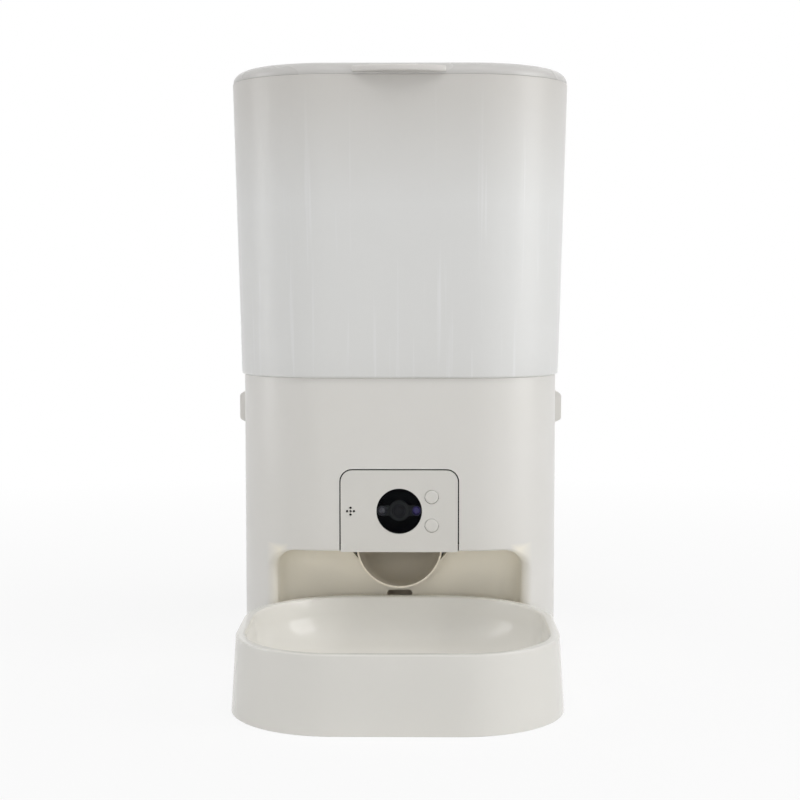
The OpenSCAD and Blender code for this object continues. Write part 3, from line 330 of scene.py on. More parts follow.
class Draft:
    """Points and faces of one piece, in millimetres, before it becomes a mesh."""

    NEAR = 1e-6

    def __init__(self) -> None:
        """Starts with nothing drawn."""
        self.points: list[Point3] = []
        self.faces: list[list[int]] = []

    def add(self, points: Iterable[Sequence[float]], faces: Iterable[Sequence[int]]) -> None:
        """Adds faces that count from the first of the new points."""
        base = len(self.points)
        self.points += [(p[0], p[1], p[2]) for p in points]
        self.faces += [[base + i for i in face] for face in faces]

    def grid(self, rows: Sequence[Sequence[Point3]], wrap: bool = False, close: bool = False) -> None:
        """Adds a sheet of four-sided faces.

        Args:
            rows: Rows of points, all of one length.
            wrap: Whether each row returns to its start.
            close: Whether the last row joins the first.
        """
        wide, tall = len(rows[0]), len(rows)
        faces = []
        for j in range(tall if close else tall - 1):
            for i in range(wide if wrap else wide - 1):
                a, b = j * wide, (j + 1) % tall * wide
                faces.append((a + i, a + (i + 1) % wide, b + (i + 1) % wide, b + i))
        self.add([p for row in rows for p in row], faces)

    def flat(
        self,
        loops: Sequence[Sequence[Point2]],
        place: Callable[[Point2], Point3],
        inner: Sequence[Point2] = (),
    ) -> None:
        """Fills an outline with holes by triangles and puts it into space.

        Args:
            loops: The outline and then its holes.
            place: Turns a flat point into a point in space.
            inner: More points inside the outline that the triangles use.
        """
        coords: list[Vector] = []
        edges: list[tuple[int, int]] = []
        for loop in loops:
            start = len(coords)
            coords += [Vector(p) for p in loop]
            edges += [(start + i, start + (i + 1) % len(loop)) for i in range(len(loop))]
        coords += [Vector(p) for p in inner]
        found, _, faces, *_ = delaunay_2d_cdt(coords, edges, [], 0, self.NEAR)
        kept = []
        for face in faces:
            middle = sum((found[i] for i in face), Vector((0, 0))) / len(face)
            if is_inside((middle.x, middle.y), loops):
                kept.append(face)
        self.add([place((p.x, p.y)) for p in found], kept)

    def prism(self, loops: Sequence[Sequence[Point2]], low: float, high: float, axis: Axis) -> None:
        """Adds a closed prism over an outline with holes.

        Args:
            loops: The outline and then its holes.
            low: Where it starts along the axis.
            high: Where it ends along the axis.
            axis: The axis along which it is pushed.
        """
        for level in (low, high):
            self.flat(loops, lambda p, level=level: axis.place(p, level))
        for loop in loops:
            self.grid([[axis.place(p, level) for p in loop] for level in (low, high)], wrap=True)

    def box(self, low: Point3, high: Point3) -> None:
        """Adds a box between two corners."""
        outline = [(low[0], low[1]), (high[0], low[1]), (high[0], high[1]), (low[0], high[1])]
        self.prism([outline], low[2], high[2], Axis.Z)

    def lathe(self, profile: Sequence[Point2], centre: Point3, axis: Axis, steps: int = 48) -> None:
        """Turns a profile round an axis; where the radius is zero the shape closes in a point.

        Args:
            profile: Pairs of radius and place along the axis.
            centre: A point on the axis.
            axis: The axis.
            steps: Steps round the circle.
        """
        rows = []
        for radius, along in profile:
            circle = [axis.place(p, along) for p in ring((0, 0), max(radius, 0.0), steps)]
            rows.append([tuple(centre[k] + p[k] for k in range(3)) for p in circle])
        self.grid(rows, wrap=True)

    def sweep(
        self, rect: RoundRect, section: Sequence[Point2], close: bool = True, per_corner: int = CORNER_STEPS
    ) -> None:
        """Carries a section round a rounded rectangle.

        Args:
            rect: The rounded rectangle.
            section: Pairs of distance outwards and height.
            close: Whether the section returns to its start.
            per_corner: Steps round a corner.
        """
        self.grid([rect.loop(out, z, per_corner) for out, z in section], wrap=True, close=close)

    def cap(self, rect: RoundRect, out: float, height: float) -> None:
        """Closes a finely rounded rectangle with one flat face at a height."""
        loop = rect.loop(out, height, FINE_STEPS)
        self.flat([[(p[0], p[1]) for p in loop]], lambda p: (p[0], p[1], height))

    def finish(self, name: str, smooth: float = SMOOTH, merge: float = MERGE) -> bpy.types.Object:
        """Turns the draft into an object in metres, with its doubles merged and its faces turned outwards.

        Args:
            name: Name of the piece.
            smooth: Largest angle in degrees between faces that still shade as one.
            merge: Distance in metres under which points are one.

        Returns:
            The new object, at the origin.
        """
        mesh = bpy.data.meshes.new(name)
        mesh.from_pydata([tuple(MM * c for c in p) for p in self.points], [], self.faces)
        work = bmesh.new()
        work.from_mesh(mesh)
        bmesh.ops.remove_doubles(work, verts=work.verts, dist=merge)
        bmesh.ops.dissolve_degenerate(work, edges=work.edges, dist=merge / 2)
        loose = [v for v in work.verts if not v.link_faces]
        bmesh.ops.delete(work, geom=loose, context="VERTS")
        bmesh.ops.recalc_face_normals(work, faces=work.faces)
        work.to_mesh(mesh)
        work.free()
        shade(mesh, smooth)
        return put(name, mesh)


def shade(mesh: bpy.types.Mesh, angle: float) -> None:
    """Shades a mesh smooth, but sharp where faces meet at more than an angle in degrees."""
    mesh.polygons.foreach_set("use_smooth", [True] * len(mesh.polygons))
    mesh.set_sharp_from_angle(angle=math.radians(angle))
    mesh.update()


def bake_modifiers(piece: bpy.types.Object, smooth: float = 35.0) -> None:
    """Turns an object with modifiers into a plain mesh.

    Args:
        piece: The object.
        smooth: Largest angle in degrees between faces that still shade as one.
    """
    graph = bpy.context.evaluated_depsgraph_get()
    mesh = bpy.data.meshes.new_from_object(piece.evaluated_get(graph), depsgraph=graph)
    old = piece.data
    mesh.name = piece.name
    piece.modifiers.clear()
    piece.data = mesh
    bpy.data.meshes.remove(old)
    shade(mesh, smooth)


def keep_flats(mesh: bpy.types.Mesh, share: float = 0.12, angle: float = 50.0) -> None:
    """Lets large flat sides shade flat beside their rounded edges.

    Args:
        mesh: The mesh.
        share: Part of the whole surface that a side must have to count as large.
        angle: Faces that lean further than this from the side, in degrees, keep their own shading.
    """

    def facing(face: bpy.types.MeshPolygon) -> Point3:
        """The face's direction, rounded so that coplanar faces agree."""
        return tuple(round(c, 3) + 0.0 for c in face.normal)

    areas: dict[Point3, float] = {}
    for face in mesh.polygons:
        areas[facing(face)] = areas.get(facing(face), 0.0) + face.area
    whole = sum(areas.values())
    large = {way for way, area in areas.items() if area > share * whole}
    held: dict[int, Vector] = {}
    for face in mesh.polygons:
        if facing(face) in large:
            for vertex in face.vertices:
                held[vertex] = face.normal.copy()
    normals = [Vector(corner.vector) for corner in mesh.corner_normals]
    limit = math.cos(math.radians(angle))
    for face in mesh.polygons:
        for corner in face.loop_indices:
            flat = held.get(mesh.loops[corner].vertex_index)
            if flat is not None and flat.dot(face.normal) > limit:
                normals[corner] = flat
    mesh.normals_split_custom_set(normals)


def round_edges(piece: bpy.types.Object, width: float, angle: float = 40.0, steps: int = 3) -> None:
    """Rounds the sharp edges of a finished piece.

    Args:
        piece: The piece.
        width: Width of the rounding in millimetres.
        angle: Edges sharper than this, in degrees, are rounded.
        steps: Steps of the rounding.
    """
    bevel = piece.modifiers.new("Rounded edges", "BEVEL")
    bevel.width = width * MM
    bevel.segments = steps
    bevel.limit_method = "ANGLE"
    bevel.angle_limit = math.radians(angle)
    bevel.use_clamp_overlap = True
    bake_modifiers(piece)
    keep_flats(piece.data)


class Graph:
    """A node tree with short calls to add and join nodes."""

    KINDS = {
        tuple: "NodeSocketColor",
        float: "NodeSocketFloat",
        int: "NodeSocketInt",
        type(None): "NodeSocketMaterial",
        "RGBA": "NodeSocketColor",
        "VALUE": "NodeSocketFloat",
        "GEOMETRY": "NodeSocketGeometry",
    }

    def __init__(self, tree: bpy.types.NodeTree) -> None:
        """Takes the tree that it adds to."""
        self.tree = tree

    def node(
        self, kind: str, inputs: dict[str | int, Any] | None = None, **settings: Any
    ) -> bpy.types.Node:
        """Adds a node.

        Args:
            kind: Blender's name of the node type.
            inputs: A value or an output socket for each input, by name or number.
            settings: Properties of the node.

        Returns:
            The new node.
        """
        made = self.tree.nodes.new(kind)
        for key, value in settings.items():
            setattr(made, key, value)
        for key, value in (inputs or {}).items():
            if isinstance(value, Socket):
                self.tree.links.new(value, made.inputs[key])
            else:
                made.inputs[key].default_value = value
        return made

    def inputs(self, **values: Any) -> Any:
        """Adds a group's inputs, each with a name in words.

        Args:
            values: The value of each input while nothing else is set, which is None for a material.

        Returns:
            The sockets of all the group's inputs.
        """
        for name, value in values.items():
            kind = self.KINDS[type(value)]
            made = self.tree.interface.new_socket(name.replace("_", " "), in_out="INPUT", socket_type=kind)
            if value is not None:
                made.default_value = value
        return self.node("NodeGroupInput").outputs

    def outputs(self, **sockets: Socket) -> None:
        """Adds a group's outputs and joins them to the sockets that feed them."""
        for name, socket in sockets.items():
            self.tree.interface.new_socket(name, in_out="OUTPUT", socket_type=self.KINDS[socket.type])
        self.node("NodeGroupOutput", sockets)

    def place(self) -> Socket:
        """The piece's own coordinates."""
        return self.node("ShaderNodeTexCoord").outputs["Object"]

    def math(self, operation: str, first: Any, second: Any = 0.0) -> Socket:
        """Calculates with one or two values."""
        return self.node("ShaderNodeMath", {0: first, 1: second}, operation=operation).outputs[0]

    def vector_math(self, operation: str, first: Any, second: Any = (0.0, 0.0, 0.0)) -> Socket:
        """Calculates with one or two vectors."""
        made = self.node("ShaderNodeVectorMath", {0: first, 1: second}, operation=operation)
        return made.outputs["Vector"]

    def vector(self, **parts: Any) -> Socket:
        """A vector from its X, Y and Z, of which those left out are zero."""
        return self.node("ShaderNodeCombineXYZ", parts).outputs["Vector"]

    def noise(self, place: Socket, scale: Any, detail: float, roughness: float) -> Socket:
        """Soft noise between 0 and 1."""
        inputs = {"Vector": place, "Scale": scale, "Detail": detail, "Roughness": roughness}
        return self.node("ShaderNodeTexNoise", inputs).outputs["Fac"]

    def mapped(self, value: Socket, low: float, high: float, start: Any = 0.0, end: Any = 1.0) -> Socket:
        """Carries a value from one range to another and holds it at the ends.

        Args:
            value: The value.
            low: Where the first range starts.
            high: Where the first range ends.
            start: What the low end becomes.
            end: What the high end becomes.

        Returns:
            The new value.
        """
        inputs = {"Value": value, "From Min": low, "From Max": high, "To Min": start, "To Max": end}
        return self.node("ShaderNodeMapRange", inputs).outputs["Result"]

    def mixed(self, share: Socket, first: Any, second: Any) -> Socket:
        """The first colour where the share is 0 and the second where it is 1."""
        inputs = {"Factor": share, "A": first, "B": second}
        return self.node("ShaderNodeMix", inputs, data_type="RGBA").outputs["Result"]

    def joined(self, *shapes: Socket) -> Socket:
        """Several shapes as one."""
        whole = self.node("GeometryNodeJoinGeometry")
        for shape in shapes:
            self.tree.links.new(shape, whole.inputs["Geometry"])
        return whole.outputs["Geometry"]

    def boolean(self, operation: str, first: Socket | None, *others: Socket) -> Socket:
        """The union of the others, or the first shape without them."""
        made = self.node("GeometryNodeMeshBoolean", operation=operation, solver="EXACT")
        if first:
            self.tree.links.new(first, made.inputs["Mesh 1"])
        for other in others:
            self.tree.links.new(other, made.inputs["Mesh 2"])
        return made.outputs["Mesh"]

    def moved(self, shape: Socket, **parts: Any) -> Socket:
        """A shape moved along X, Y and Z."""
        inputs = {"Geometry": shape, "Translation": self.vector(**parts)}
        return self.node("GeometryNodeTransform", inputs).outputs["Geometry"]

    def copies(self, points: Socket, shape: Socket, **more: Socket) -> Socket:
        """A copy of a shape at each point."""
        inputs = {"Points": points, "Instance": shape, **more}
        return self.node("GeometryNodeInstanceOnPoints", inputs).outputs["Instances"]


def fresh_graph(owner: bpy.types.Material | bpy.types.World) -> Graph:
    """The emptied node tree of a material or a world."""
    owner.use_nodes = True
    owner.node_tree.nodes.clear()
    return Graph(owner.node_tree)


class SurfaceEffect(Enum):
    """Effects that several finishes share, each a shader node group."""

    MOULDED = "Moulded surface"
    FLOW = "Flow lines"

    def group(self) -> bpy.types.NodeTree:
        """The effect's node group, built at its first use."""
        found = bpy.data.node_groups.get(self.value)
        if found:
            return found
        tree = bpy.data.node_groups.new(self.value, "ShaderNodeTree")
        makers = {SurfaceEffect.MOULDED: self._moulded, SurfaceEffect.FLOW: self._flow}
        makers[self](Graph(tree))
        return tree

    @staticmethod
    def _moulded(graph: Graph) -> None:
        """Soft clouds of colour and gloss and a fine spark-eroded grain."""
        given = graph.inputs(
            Color=(0.8, 0.8, 0.8, 1),
            Shade=(0.7, 0.7, 0.7, 1),
            Cloud_Scale=14.0,
            Grain_Scale=1800.0,
            Rough_Low=0.35,
            Rough_High=0.45,
        )
        place = graph.place()
        cloud = graph.noise(place, given["Cloud Scale"], detail=3.0, roughness=0.5)
        grain = graph.noise(place, given["Grain Scale"], detail=2.0, roughness=0.6)
        low, high = 0.3, 0.7
        color = graph.mixed(graph.mapped(cloud, low, high), given["Color"], given["Shade"])
        gloss = graph.mapped(cloud, low, high, given["Rough Low"], given["Rough High"])
        graph.outputs(Color=color, Roughness=gloss, Height=grain)

    @staticmethod
    def _flow(graph: Graph) -> None:
        """Faint upright streaks, as molten plastic leaves them in a deep mould."""
        given = graph.inputs(Color=(0.8, 0.8, 0.8, 1), Streak=(0.9, 0.9, 0.9, 1), Across=340.0, Along=1.5)
        scale = graph.vector(X=given["Across"], Y=given["Across"], Z=given["Along"])
        stretched = graph.vector_math("MULTIPLY", graph.place(), scale)
        streaks = graph.noise(stretched, 1.0, detail=2.0, roughness=0.55)
        low, high = 0.61, 0.73
        graph.outputs(Color=graph.mixed(graph.mapped(streaks, low, high), given["Color"], given["Streak"]))


@dataclass(frozen=True)
class Finish:
    """One finish: a Principled surface with moulded colour, gloss and grain.

    Attributes:
        name: Name of the material.
        slot: The record's material slot that it belongs to; not used.
        color: Main colour.
        shade: Colour of its soft clouds.
        rough: Lowest and highest roughness.
        cloud: Size of the clouds, as clouds per metre.
        grain: Grain per metre.
        depth: Depth of the grain in millimetres.
        metallic: Whether it is a metal, from 0 to 1.
        coat: Weight of a clear gloss over it.
        specular: Level of its plain reflection.
        ior: Index of refraction.
        alpha: How much of what lies behind it is covered.
        sheen: Weight of a soft sheen at grazing angles.
        subsurface: Share of light that wanders inside before it leaves.
        scatter: How far it wanders, in millimetres.
        streaks: Upright flow lines' colour, or nothing.
        shade_band: Height in millimetres above which a darker colour is painted as shade, and that colour,
            or nothing.
        pocket: Middle and half size in millimetres of a box inside which a lighter, warmer colour is
            painted
        as painted light, and that colour, or nothing.
        glow: Colour that it gives off, or nothing.
        glow_strength: Strength of that.
    """

    name: str
    slot: str
    color: Color
    shade: Color
    rough: tuple[float, float]
    cloud: float = 14.0
    grain: float = 1800.0
    depth: float = 0.01
    metallic: float = 0.0
    coat: float = 0.0
    specular: float = 0.5
    ior: float = 1.5
    alpha: float = 1.0
    sheen: float = 0.0
    subsurface: float = 0.0
    scatter: float = 0.0
    streaks: Color | None = None
    shade_band: tuple[float, Color] | None = None
    pocket: tuple[Point3, Point3, Color] | None = None
    glow: Color | None = None
    glow_strength: float = 0.0

    # Roughness of a clear gloss, half height of the painted shade's soft edge in millimetres, and the share
    # of the painted light box's half size at which its soft edge starts
    COAT_ROUGHNESS = 0.08
    SHADE_SOFTNESS = 35.0
    PAINTED_LIGHT_CORE = 0.9

    def material(self) -> bpy.types.Material:
        """The finish as a material, made at its first use."""
        found = bpy.data.materials.get(self.name)
        if found:
            return found
        made = bpy.data.materials.new(self.name)
        graph = fresh_graph(made)
        skin = graph.node(
            "ShaderNodeGroup",
            {
                "Color": (*self.color, 1),
                "Shade": (*self.shade, 1),
                "Cloud Scale": self.cloud,
                "Grain Scale": self.grain,
                "Rough Low": self.rough[0],
                "Rough High": self.rough[1],
            },
            node_tree=SurfaceEffect.MOULDED.group(),
        ).outputs
        color = skin["Color"]
        if self.streaks:
            inputs = {"Color": color, "Streak": (*self.streaks, 1)}
            flow = graph.node("ShaderNodeGroup", inputs, node_tree=SurfaceEffect.FLOW.group())
            color = flow.outputs["Color"]
        if self.shade_band:
            color = self._paint_lid_shade(graph, color)
        if self.pocket:
            color = self._paint_alcove_light(graph, color)
        relief = {"Height": skin["Height"], "Strength": 1.0, "Distance": self.depth * MM}
        shader = graph.node(
            "ShaderNodeBsdfPrincipled",
            {
                "Base Color": color,
                "Roughness": skin["Roughness"],
                "Normal": graph.node("ShaderNodeBump", relief).outputs["Normal"],
                "Metallic": self.metallic,
                "Coat Weight": self.coat,
                "Coat Roughness": self.COAT_ROUGHNESS,
                "Specular IOR Level": self.specular,
                "IOR": self.ior,
                "Alpha": self.alpha,
                "Sheen Weight": self.sheen,
                "Subsurface Weight": self.subsurface,
                "Subsurface Radius": (1.0, 1.0, 1.0),
                "Subsurface Scale": self.scatter * MM,
            },
        )
        if self.glow:
            shader.inputs["Emission Color"].default_value = (*self.glow, 1)
            shader.inputs["Emission Strength"].default_value = self.glow_strength
        graph.node("ShaderNodeOutputMaterial", {"Surface": shader.outputs["BSDF"]})
        return made

    def _paint_alcove_light(self, graph: Graph, color: Socket) -> Socket:
        """Paints a lighter colour inside the pocket's box, as painted light.

        Args:
            graph: The material's tree.
            color: The colour outside the box.

        Returns:
            The colour with the painted light.
        """
        middle, half, painted_tone = self.pocket
        offset = graph.vector_math("SUBTRACT", graph.place(), [c * MM for c in middle])
        share = graph.vector_math("DIVIDE", offset, [c * MM for c in half])
        size = graph.vector_math("ABSOLUTE", share)
        parts = graph.node("ShaderNodeSeparateXYZ", {"Vector": size}).outputs
        most = graph.math("MAXIMUM", graph.math("MAXIMUM", parts["X"], parts["Y"]), parts["Z"])
        return graph.mixed(graph.mapped(most, 1.0, self.PAINTED_LIGHT_CORE), color, (*painted_tone, 1))

    def _paint_lid_shade(self, graph: Graph, color: Socket) -> Socket:
        """Paints a darker colour above a height, as painted shade under the lid.

        Args:
            graph: The material's tree.
            color: The colour below the painted shade.

        Returns:
            The colour with the painted shade.
        """
        height, painted_tone = self.shade_band
        upright = graph.node("ShaderNodeSeparateXYZ", {"Vector": graph.place()}).outputs["Z"]
        low, high = (height - self.SHADE_SOFTNESS) * MM, (height + self.SHADE_SOFTNESS) * MM
        return graph.mixed(graph.mapped(upright, low, high), color, (*painted_tone, 1))


class Finishes:
    """Every finish of the feeder."""

    SHELL = Finish(
        "warm white moulding", "shell", srgb(231, 229, 225), srgb(228, 226, 221), (0.3, 0.36), depth=0.008,
        # The pocket paints the alcove lighter and warmer: painted light standing in for the bounce light
        # that reaches into it.
        pocket=((0.0, 4.1, 37.0), (75.0, 29.0, 35.0), srgb(249, 244, 231)),
    )
    PANEL = Finish(
        "panel moulding", "panel", srgb(226, 224, 219), srgb(223, 221, 216), (0.42, 0.5),
        grain=2400, depth=0.012,
    )
    HOPPER = Finish(
        "frosted hopper", "hopper_clear", srgb(238, 238, 236), srgb(237, 237, 235), (0.28, 0.3),
        cloud=7, grain=1500, depth=0.02, specular=0.35, subsurface=0.3, scatter=6.0, ior=1.4,
        # The band above 295 mm is painted shade under the lid; it also stands in for the lid's skirt seen
        # through the frosted wall.
        streaks=srgb(244, 244, 243), shade_band=(295.0, srgb(217, 214, 209)),
    )
    LID = Finish(
        "lid moulding", "lid_white", srgb(204, 202, 199), srgb(201, 199, 196), (0.24, 0.3), depth=0.006
    )
    # A lighter copy of the lid's moulding: the lip is painted lighter so that its shaded front reads as
    # lit.
    LIP_PAINTED_LIGHTER = Finish(
        "lip moulding", "lid_white", srgb(222, 219, 215), srgb(219, 216, 212), (0.24, 0.3), depth=0.006
    )
    BOWL = Finish(
        "bowl moulding", "bowl_white", srgb(234, 232, 226), srgb(231, 229, 223), (0.06, 0.08),
        depth=0.003, coat=0.05, specular=0.3,
    )
    # Inner white moulding; its warm, light tint is painted light, standing in for the warm light inside the
    # chute and the bowl's slot.
    INNER = Finish(
        "inner moulding", "inner_white", srgb(248, 239, 222), srgb(244, 235, 217), (0.4, 0.5), depth=0.012
    )
    WINDOW = Finish(
        "smoked window", "window_black", srgb(4, 6, 10), srgb(2, 4, 8), (0.05, 0.08),
        depth=0.0, specular=0.06, alpha=0.35,
    )
    BLACK = Finish(
        "black moulding", "black_plastic", srgb(24, 24, 28), srgb(19, 19, 23), (0.4, 0.55),
        depth=0.02, specular=0.3,
    )
    INK = Finish(
        "matt black lining", "black_plastic", srgb(13, 10, 11), srgb(9, 8, 9), (0.6, 0.7),
        depth=0.02, specular=0.1,
    )
    LENS = Finish(
        "coated lens", "lens_glass", srgb(58, 60, 70), srgb(50, 52, 64), (0.1, 0.16), depth=0.0, coat=0.5,
    )
    # The unlit lamp's glow is a painted highlight, standing in for the bright crescents that light leaves
    # on its dome.
    LAMP_GREY = Finish(
        "clear infrared lamp", "lamp_clear", srgb(196, 196, 206), srgb(150, 150, 164), (0.08, 0.14),
        cloud=900,
        depth=0.0, coat=0.6, glow=srgb(150, 150, 158), glow_strength=0.1,
    )
    LAMP_VIOLET = Finish(
        "lit infrared lamp", "lamp_clear", srgb(150, 140, 216), srgb(110, 98, 190), (0.08, 0.14), cloud=900,
        depth=0.0, coat=0.6, glow=srgb(136, 126, 205), glow_strength=0.14,
    )
    # The bezel is black moulding painted grey, a lighter copy that stands in for the light the dark window
    # holds back.
    BEZEL = Finish(
        "grey bezel", "black_plastic", srgb(84, 88, 90), srgb(76, 80, 82), (0.35, 0.45),
        cloud=300, depth=0.01,
    )
    BOARD = Finish(
        "solder mask", "board", srgb(22, 92, 58), srgb(16, 78, 50), (0.28, 0.4),
        cloud=220, grain=900, depth=0.03, coat=0.3,
    )
    STEEL = Finish(
        "zinc plated steel", "steel", srgb(200, 202, 205), srgb(182, 184, 188), (0.24, 0.38),
        cloud=160, metallic=1.0,
    )
    BRASS = Finish(
        "brass", "brass", srgb(206, 176, 112), srgb(190, 160, 98), (0.24, 0.36), cloud=160, metallic=1.0
    )
    GEAR = Finish(
        "acetal", "gear_plastic", srgb(230, 227, 216), srgb(225, 222, 210), (0.32, 0.4), depth=0.008
    )
    RUBBER = Finish(
        "soft rubber", "soft_rubber", srgb(70, 68, 66), srgb(60, 58, 56), (0.7, 0.82),
        depth=0.03, specular=0.3,
    )
    SILICONE = Finish(
        "silicone", "soft_silicone", srgb(212, 207, 197), srgb(206, 201, 190), (0.5, 0.62),
        depth=0.015, sheen=0.2,
    )


def dress(piece: bpy.types.Object, finish: Finish) -> None:
    """Gives a piece a finish."""
    piece.data.materials.clear()
    piece.data.materials.append(finish.material())


def settle(piece: bpy.types.Object, finish: Finish, body: str, *nodes: str) -> None:
    """Dresses a finished piece, puts it on its body and lets it stand for CAD nodes.

    Args:
        piece: The piece.
        finish: Its finish.
        body: The CAD body that it rides on.
        nodes: The CAD nodes that it replaces.
    """
    dress(piece, finish)
    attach(piece, body)
    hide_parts(*nodes)
    LOG.info("%s rides on %s: %d faces", piece.name, body, len(piece.data.polygons))


@dataclass
class BaseShell:
    """Moulded shell of the base: one skin with its alcove, given a wall thickness.

    Attributes:
        width: Width of the base.
        depth: Depth of the base.
        corner: Radius of the upright corners.
        bottom: Height of the lower edge.
        top: Height of the seam.
        wall: Wall thickness.
        rim: Rounding of the seam edge.
        shelf: Width of the shelf inside the seam.
        shelf_edge: Rounding of the shelf's edge.
        shelf_drop: Height of the shelf's edge.
        alcove_width: Width of the alcove.
        alcove_depth: Depth of the alcove.
        alcove_top: Height of its ceiling.
        alcove_arch: Radius of the opening's upper corners.
        alcove_back: Radius of the upright corners at the back.
        edge: Rounding of the opening's upright edges.
        edge_top: Rounding of the edge under the ceiling.
        panel_half: Half width of the panel's opening.
        panel_top: Height of the panel's opening.
        panel_corner: Radius of the panel opening's upper corners.
        hole: Radius of the hole for the chute.
        hole_front: Distance of that hole behind the front face.
        splay: How far that hole widens at the ceiling.
        notch: How far under the ceiling it starts to widen.
        slot_half: Half width of the bowl's slot.
        slot_low: Lower edge of that slot.
        slot_high: Upper edge of that slot.
        slot_foot: Radius of its lower corners.
        slot_corner: Radius of its upper corners.
        pad_half: Half length of a release pad's window.
        pad_low: Lower edge of that window.
        pad_high: Upper edge of that window.
        pad_corner: Radius of its corners.
        inlet: Radius of the power inlet's hole.
        inlet_height: Height of the power inlet.
        liner_depth: Depth of the pocket behind the bowl's slot.
        liner_wall: Wall thickness of that pocket.
    """

    width: float = 180.0
    depth: float = 184.0
    corner: float = 50.0
    bottom: float = 2.0
    top: float = 164.74
    wall: float = 2.3
    rim: float = 0.35
    shelf: float = 8.0
    shelf_edge: float = 0.5
    shelf_drop: float = 1.2
    alcove_width: float = 137.0
    alcove_depth: float = 34.0
    alcove_top: float = 68.5
    alcove_arch: float = 11.0
    alcove_back: float = 15.0
    edge: float = 4.0
    edge_top: float = 1.2
    panel_half: float = 33.2
    panel_top: float = 114.35
    panel_corner: float = 7.1
    hole: float = 25.0
    hole_front: float = 13.6
    splay: float = 7.5
    notch: float = 12.4
    slot_half: float = 7.25
    slot_low: float = 20.0
    slot_high: float = 40.5
    slot_foot: float = 0.6
    slot_corner: float = 2.0
    pad_half: float = 15.3
    pad_low: float = 133.0
    pad_high: float = 153.7
    pad_corner: float = 1.2
    inlet: float = 5.6
    inlet_height: float = 26.0
    liner_depth: float = 22.0
    liner_wall: float = 0.9

    # Steps of the opening's leg, arch and level run, of a rounding, of the hole behind, and up the wall
    LEG_STEPS = 8
    ARCH_STEPS = 12
    RUN_STEPS = 6
    ROUND_STEPS = 8
    BACK_STEPS = 14
    SIDE_STEPS = 5
    INLET_STEPS = 16
    HOLE_STEPS = 28
    LEVELS = 18

    # Gaps in millimetres that the wall's own points keep from its edge, its openings and the inlet
    EDGE_GAP = 1.5
    OPENING_GAP = 1.6
    INLET_GAP = 1.0

    # A hair in millimetres that keeps two corners apart, and digits kept of places along the wall
    HAIR = 0.01
    DIGITS = 6

    # Largest angle in degrees between faces of the shell that still shade as one
    SMOOTH = 32

    @property
    def rect(self) -> RoundRect:
        """The outline of the base."""
        return RoundRect(self.width, self.depth, self.corner)

    def _edge_stations(self) -> list[tuple[Point2, Vector, float]]:
        """Right half of the alcove's opening as seen from the front.

        Returns:
            From the floor to the panel's side, each point with its inward direction and its rounding.
        """
        half = self.alcove_width / 2
        turn_z = self.alcove_top - self.alcove_arch
        leg = [self.bottom + (turn_z - self.bottom) * k / self.LEG_STEPS for k in range(self.LEG_STEPS)]
        stations = [((half, z), Vector((-1, 0, 0)), self.edge) for z in leg]
        middle = (half - self.alcove_arch, turn_z)
        for k in range(self.ARCH_STEPS + 1):
            angle = math.radians(90 * k / self.ARCH_STEPS)
            out = Vector((math.cos(angle), 0, math.sin(angle)))
            fade = (1 - math.cos(math.pi * k / self.ARCH_STEPS)) / 2
            rounding = self.edge + (self.edge_top - self.edge) * fade
            spot = (middle[0] + self.alcove_arch * out.x, middle[1] + self.alcove_arch * out.z)
            stations.append((spot, -out, rounding))
        run = middle[0] - self.panel_half
        for k in range(1, self.RUN_STEPS + 1):
            spot = (middle[0] - run * k / self.RUN_STEPS, self.alcove_top)
            stations.append((spot, Vector((0, 0, -1)), self.edge_top))
        return stations

    def _edge_strip(self, side: int) -> list[list[Point3]]:
        """Rounded edge between the front wall and the alcove, for one side.

        Args:
            side: 1 for the right side and -1 for the left.

        Returns:
            For each station the points from the front wall to the alcove's wall.
        """
        flat = self.width / 2 - self.corner
        axis_y = FACE_Y + self.corner
        rows = []
        for (x, z), inward, rounding in self._edge_stations():
            inner = self.corner - rounding
            middle = Vector((x, 0, z)) - inward * rounding
            out = Vector((0, -1, 0))
            if middle.x > flat:
                reach = math.sqrt(inner**2 - (middle.x - flat) ** 2)
                middle.y = axis_y - reach
                out = Vector(((middle.x - flat) / inner, -reach / inner, 0))
            else:
                middle.y = FACE_Y + rounding
            row = []
            for k in range(self.ROUND_STEPS + 1):
                way = out.slerp(inward, k / self.ROUND_STEPS)
                point = middle + way * rounding
                row.append((side * point.x, point.y, point.z))
            rows.append(row)
        return rows

    def _walk_of(self, x: float) -> float:
        """Walk along the outline to a place X on the front or on its rounded corners."""
        flat = self.width / 2 - self.corner
        if abs(x) <= flat:
            return x
        return math.copysign(flat + self.corner * math.asin((abs(x) - flat) / self.corner), x)

    def _front_outline(self, strips: dict[int, list[list[Point3]]]) -> list[Point2]:
        """Alcove and panel opening as one hole in the unrolled wall, from the floor's right to its left."""
        right = [(self._walk_of(row[0][0]), row[0][2]) for row in strips[1]]
        left = [(self._walk_of(row[0][0]), row[0][2]) for row in strips[-1]]
        half, radius = self.panel_half, self.panel_corner
        upper = arc((half - radius, self.panel_top - radius), radius, 0, 90, self.ROUND_STEPS)
        upper += arc((radius - half, self.panel_top - radius), radius, 90, 180, self.ROUND_STEPS)
        return right + upper + left[::-1]

    def _inlet_edge(self, walk: float, levels: Sequence[float], facing: float) -> list[Point2]:
        """The wall's edge behind the feeder, with half of the power inlet's hole in it.

        Args:
            walk: Where the edge lies along the outline.
            levels: Heights along the edge.
            facing: Direction in degrees in which the hole bites into the wall.

        Returns:
            The edge's points from the bottom up.
        """
        spare = self.inlet + self.INLET_GAP
        turn = 90 if facing else -90
        edge = [(walk, z) for z in levels if z < self.inlet_height - spare]
        edge += arc((walk, self.inlet_height), self.inlet, facing + turn, facing - turn, self.INLET_STEPS)
        edge += [(walk, z) for z in levels if z > self.inlet_height + spare]
        return edge

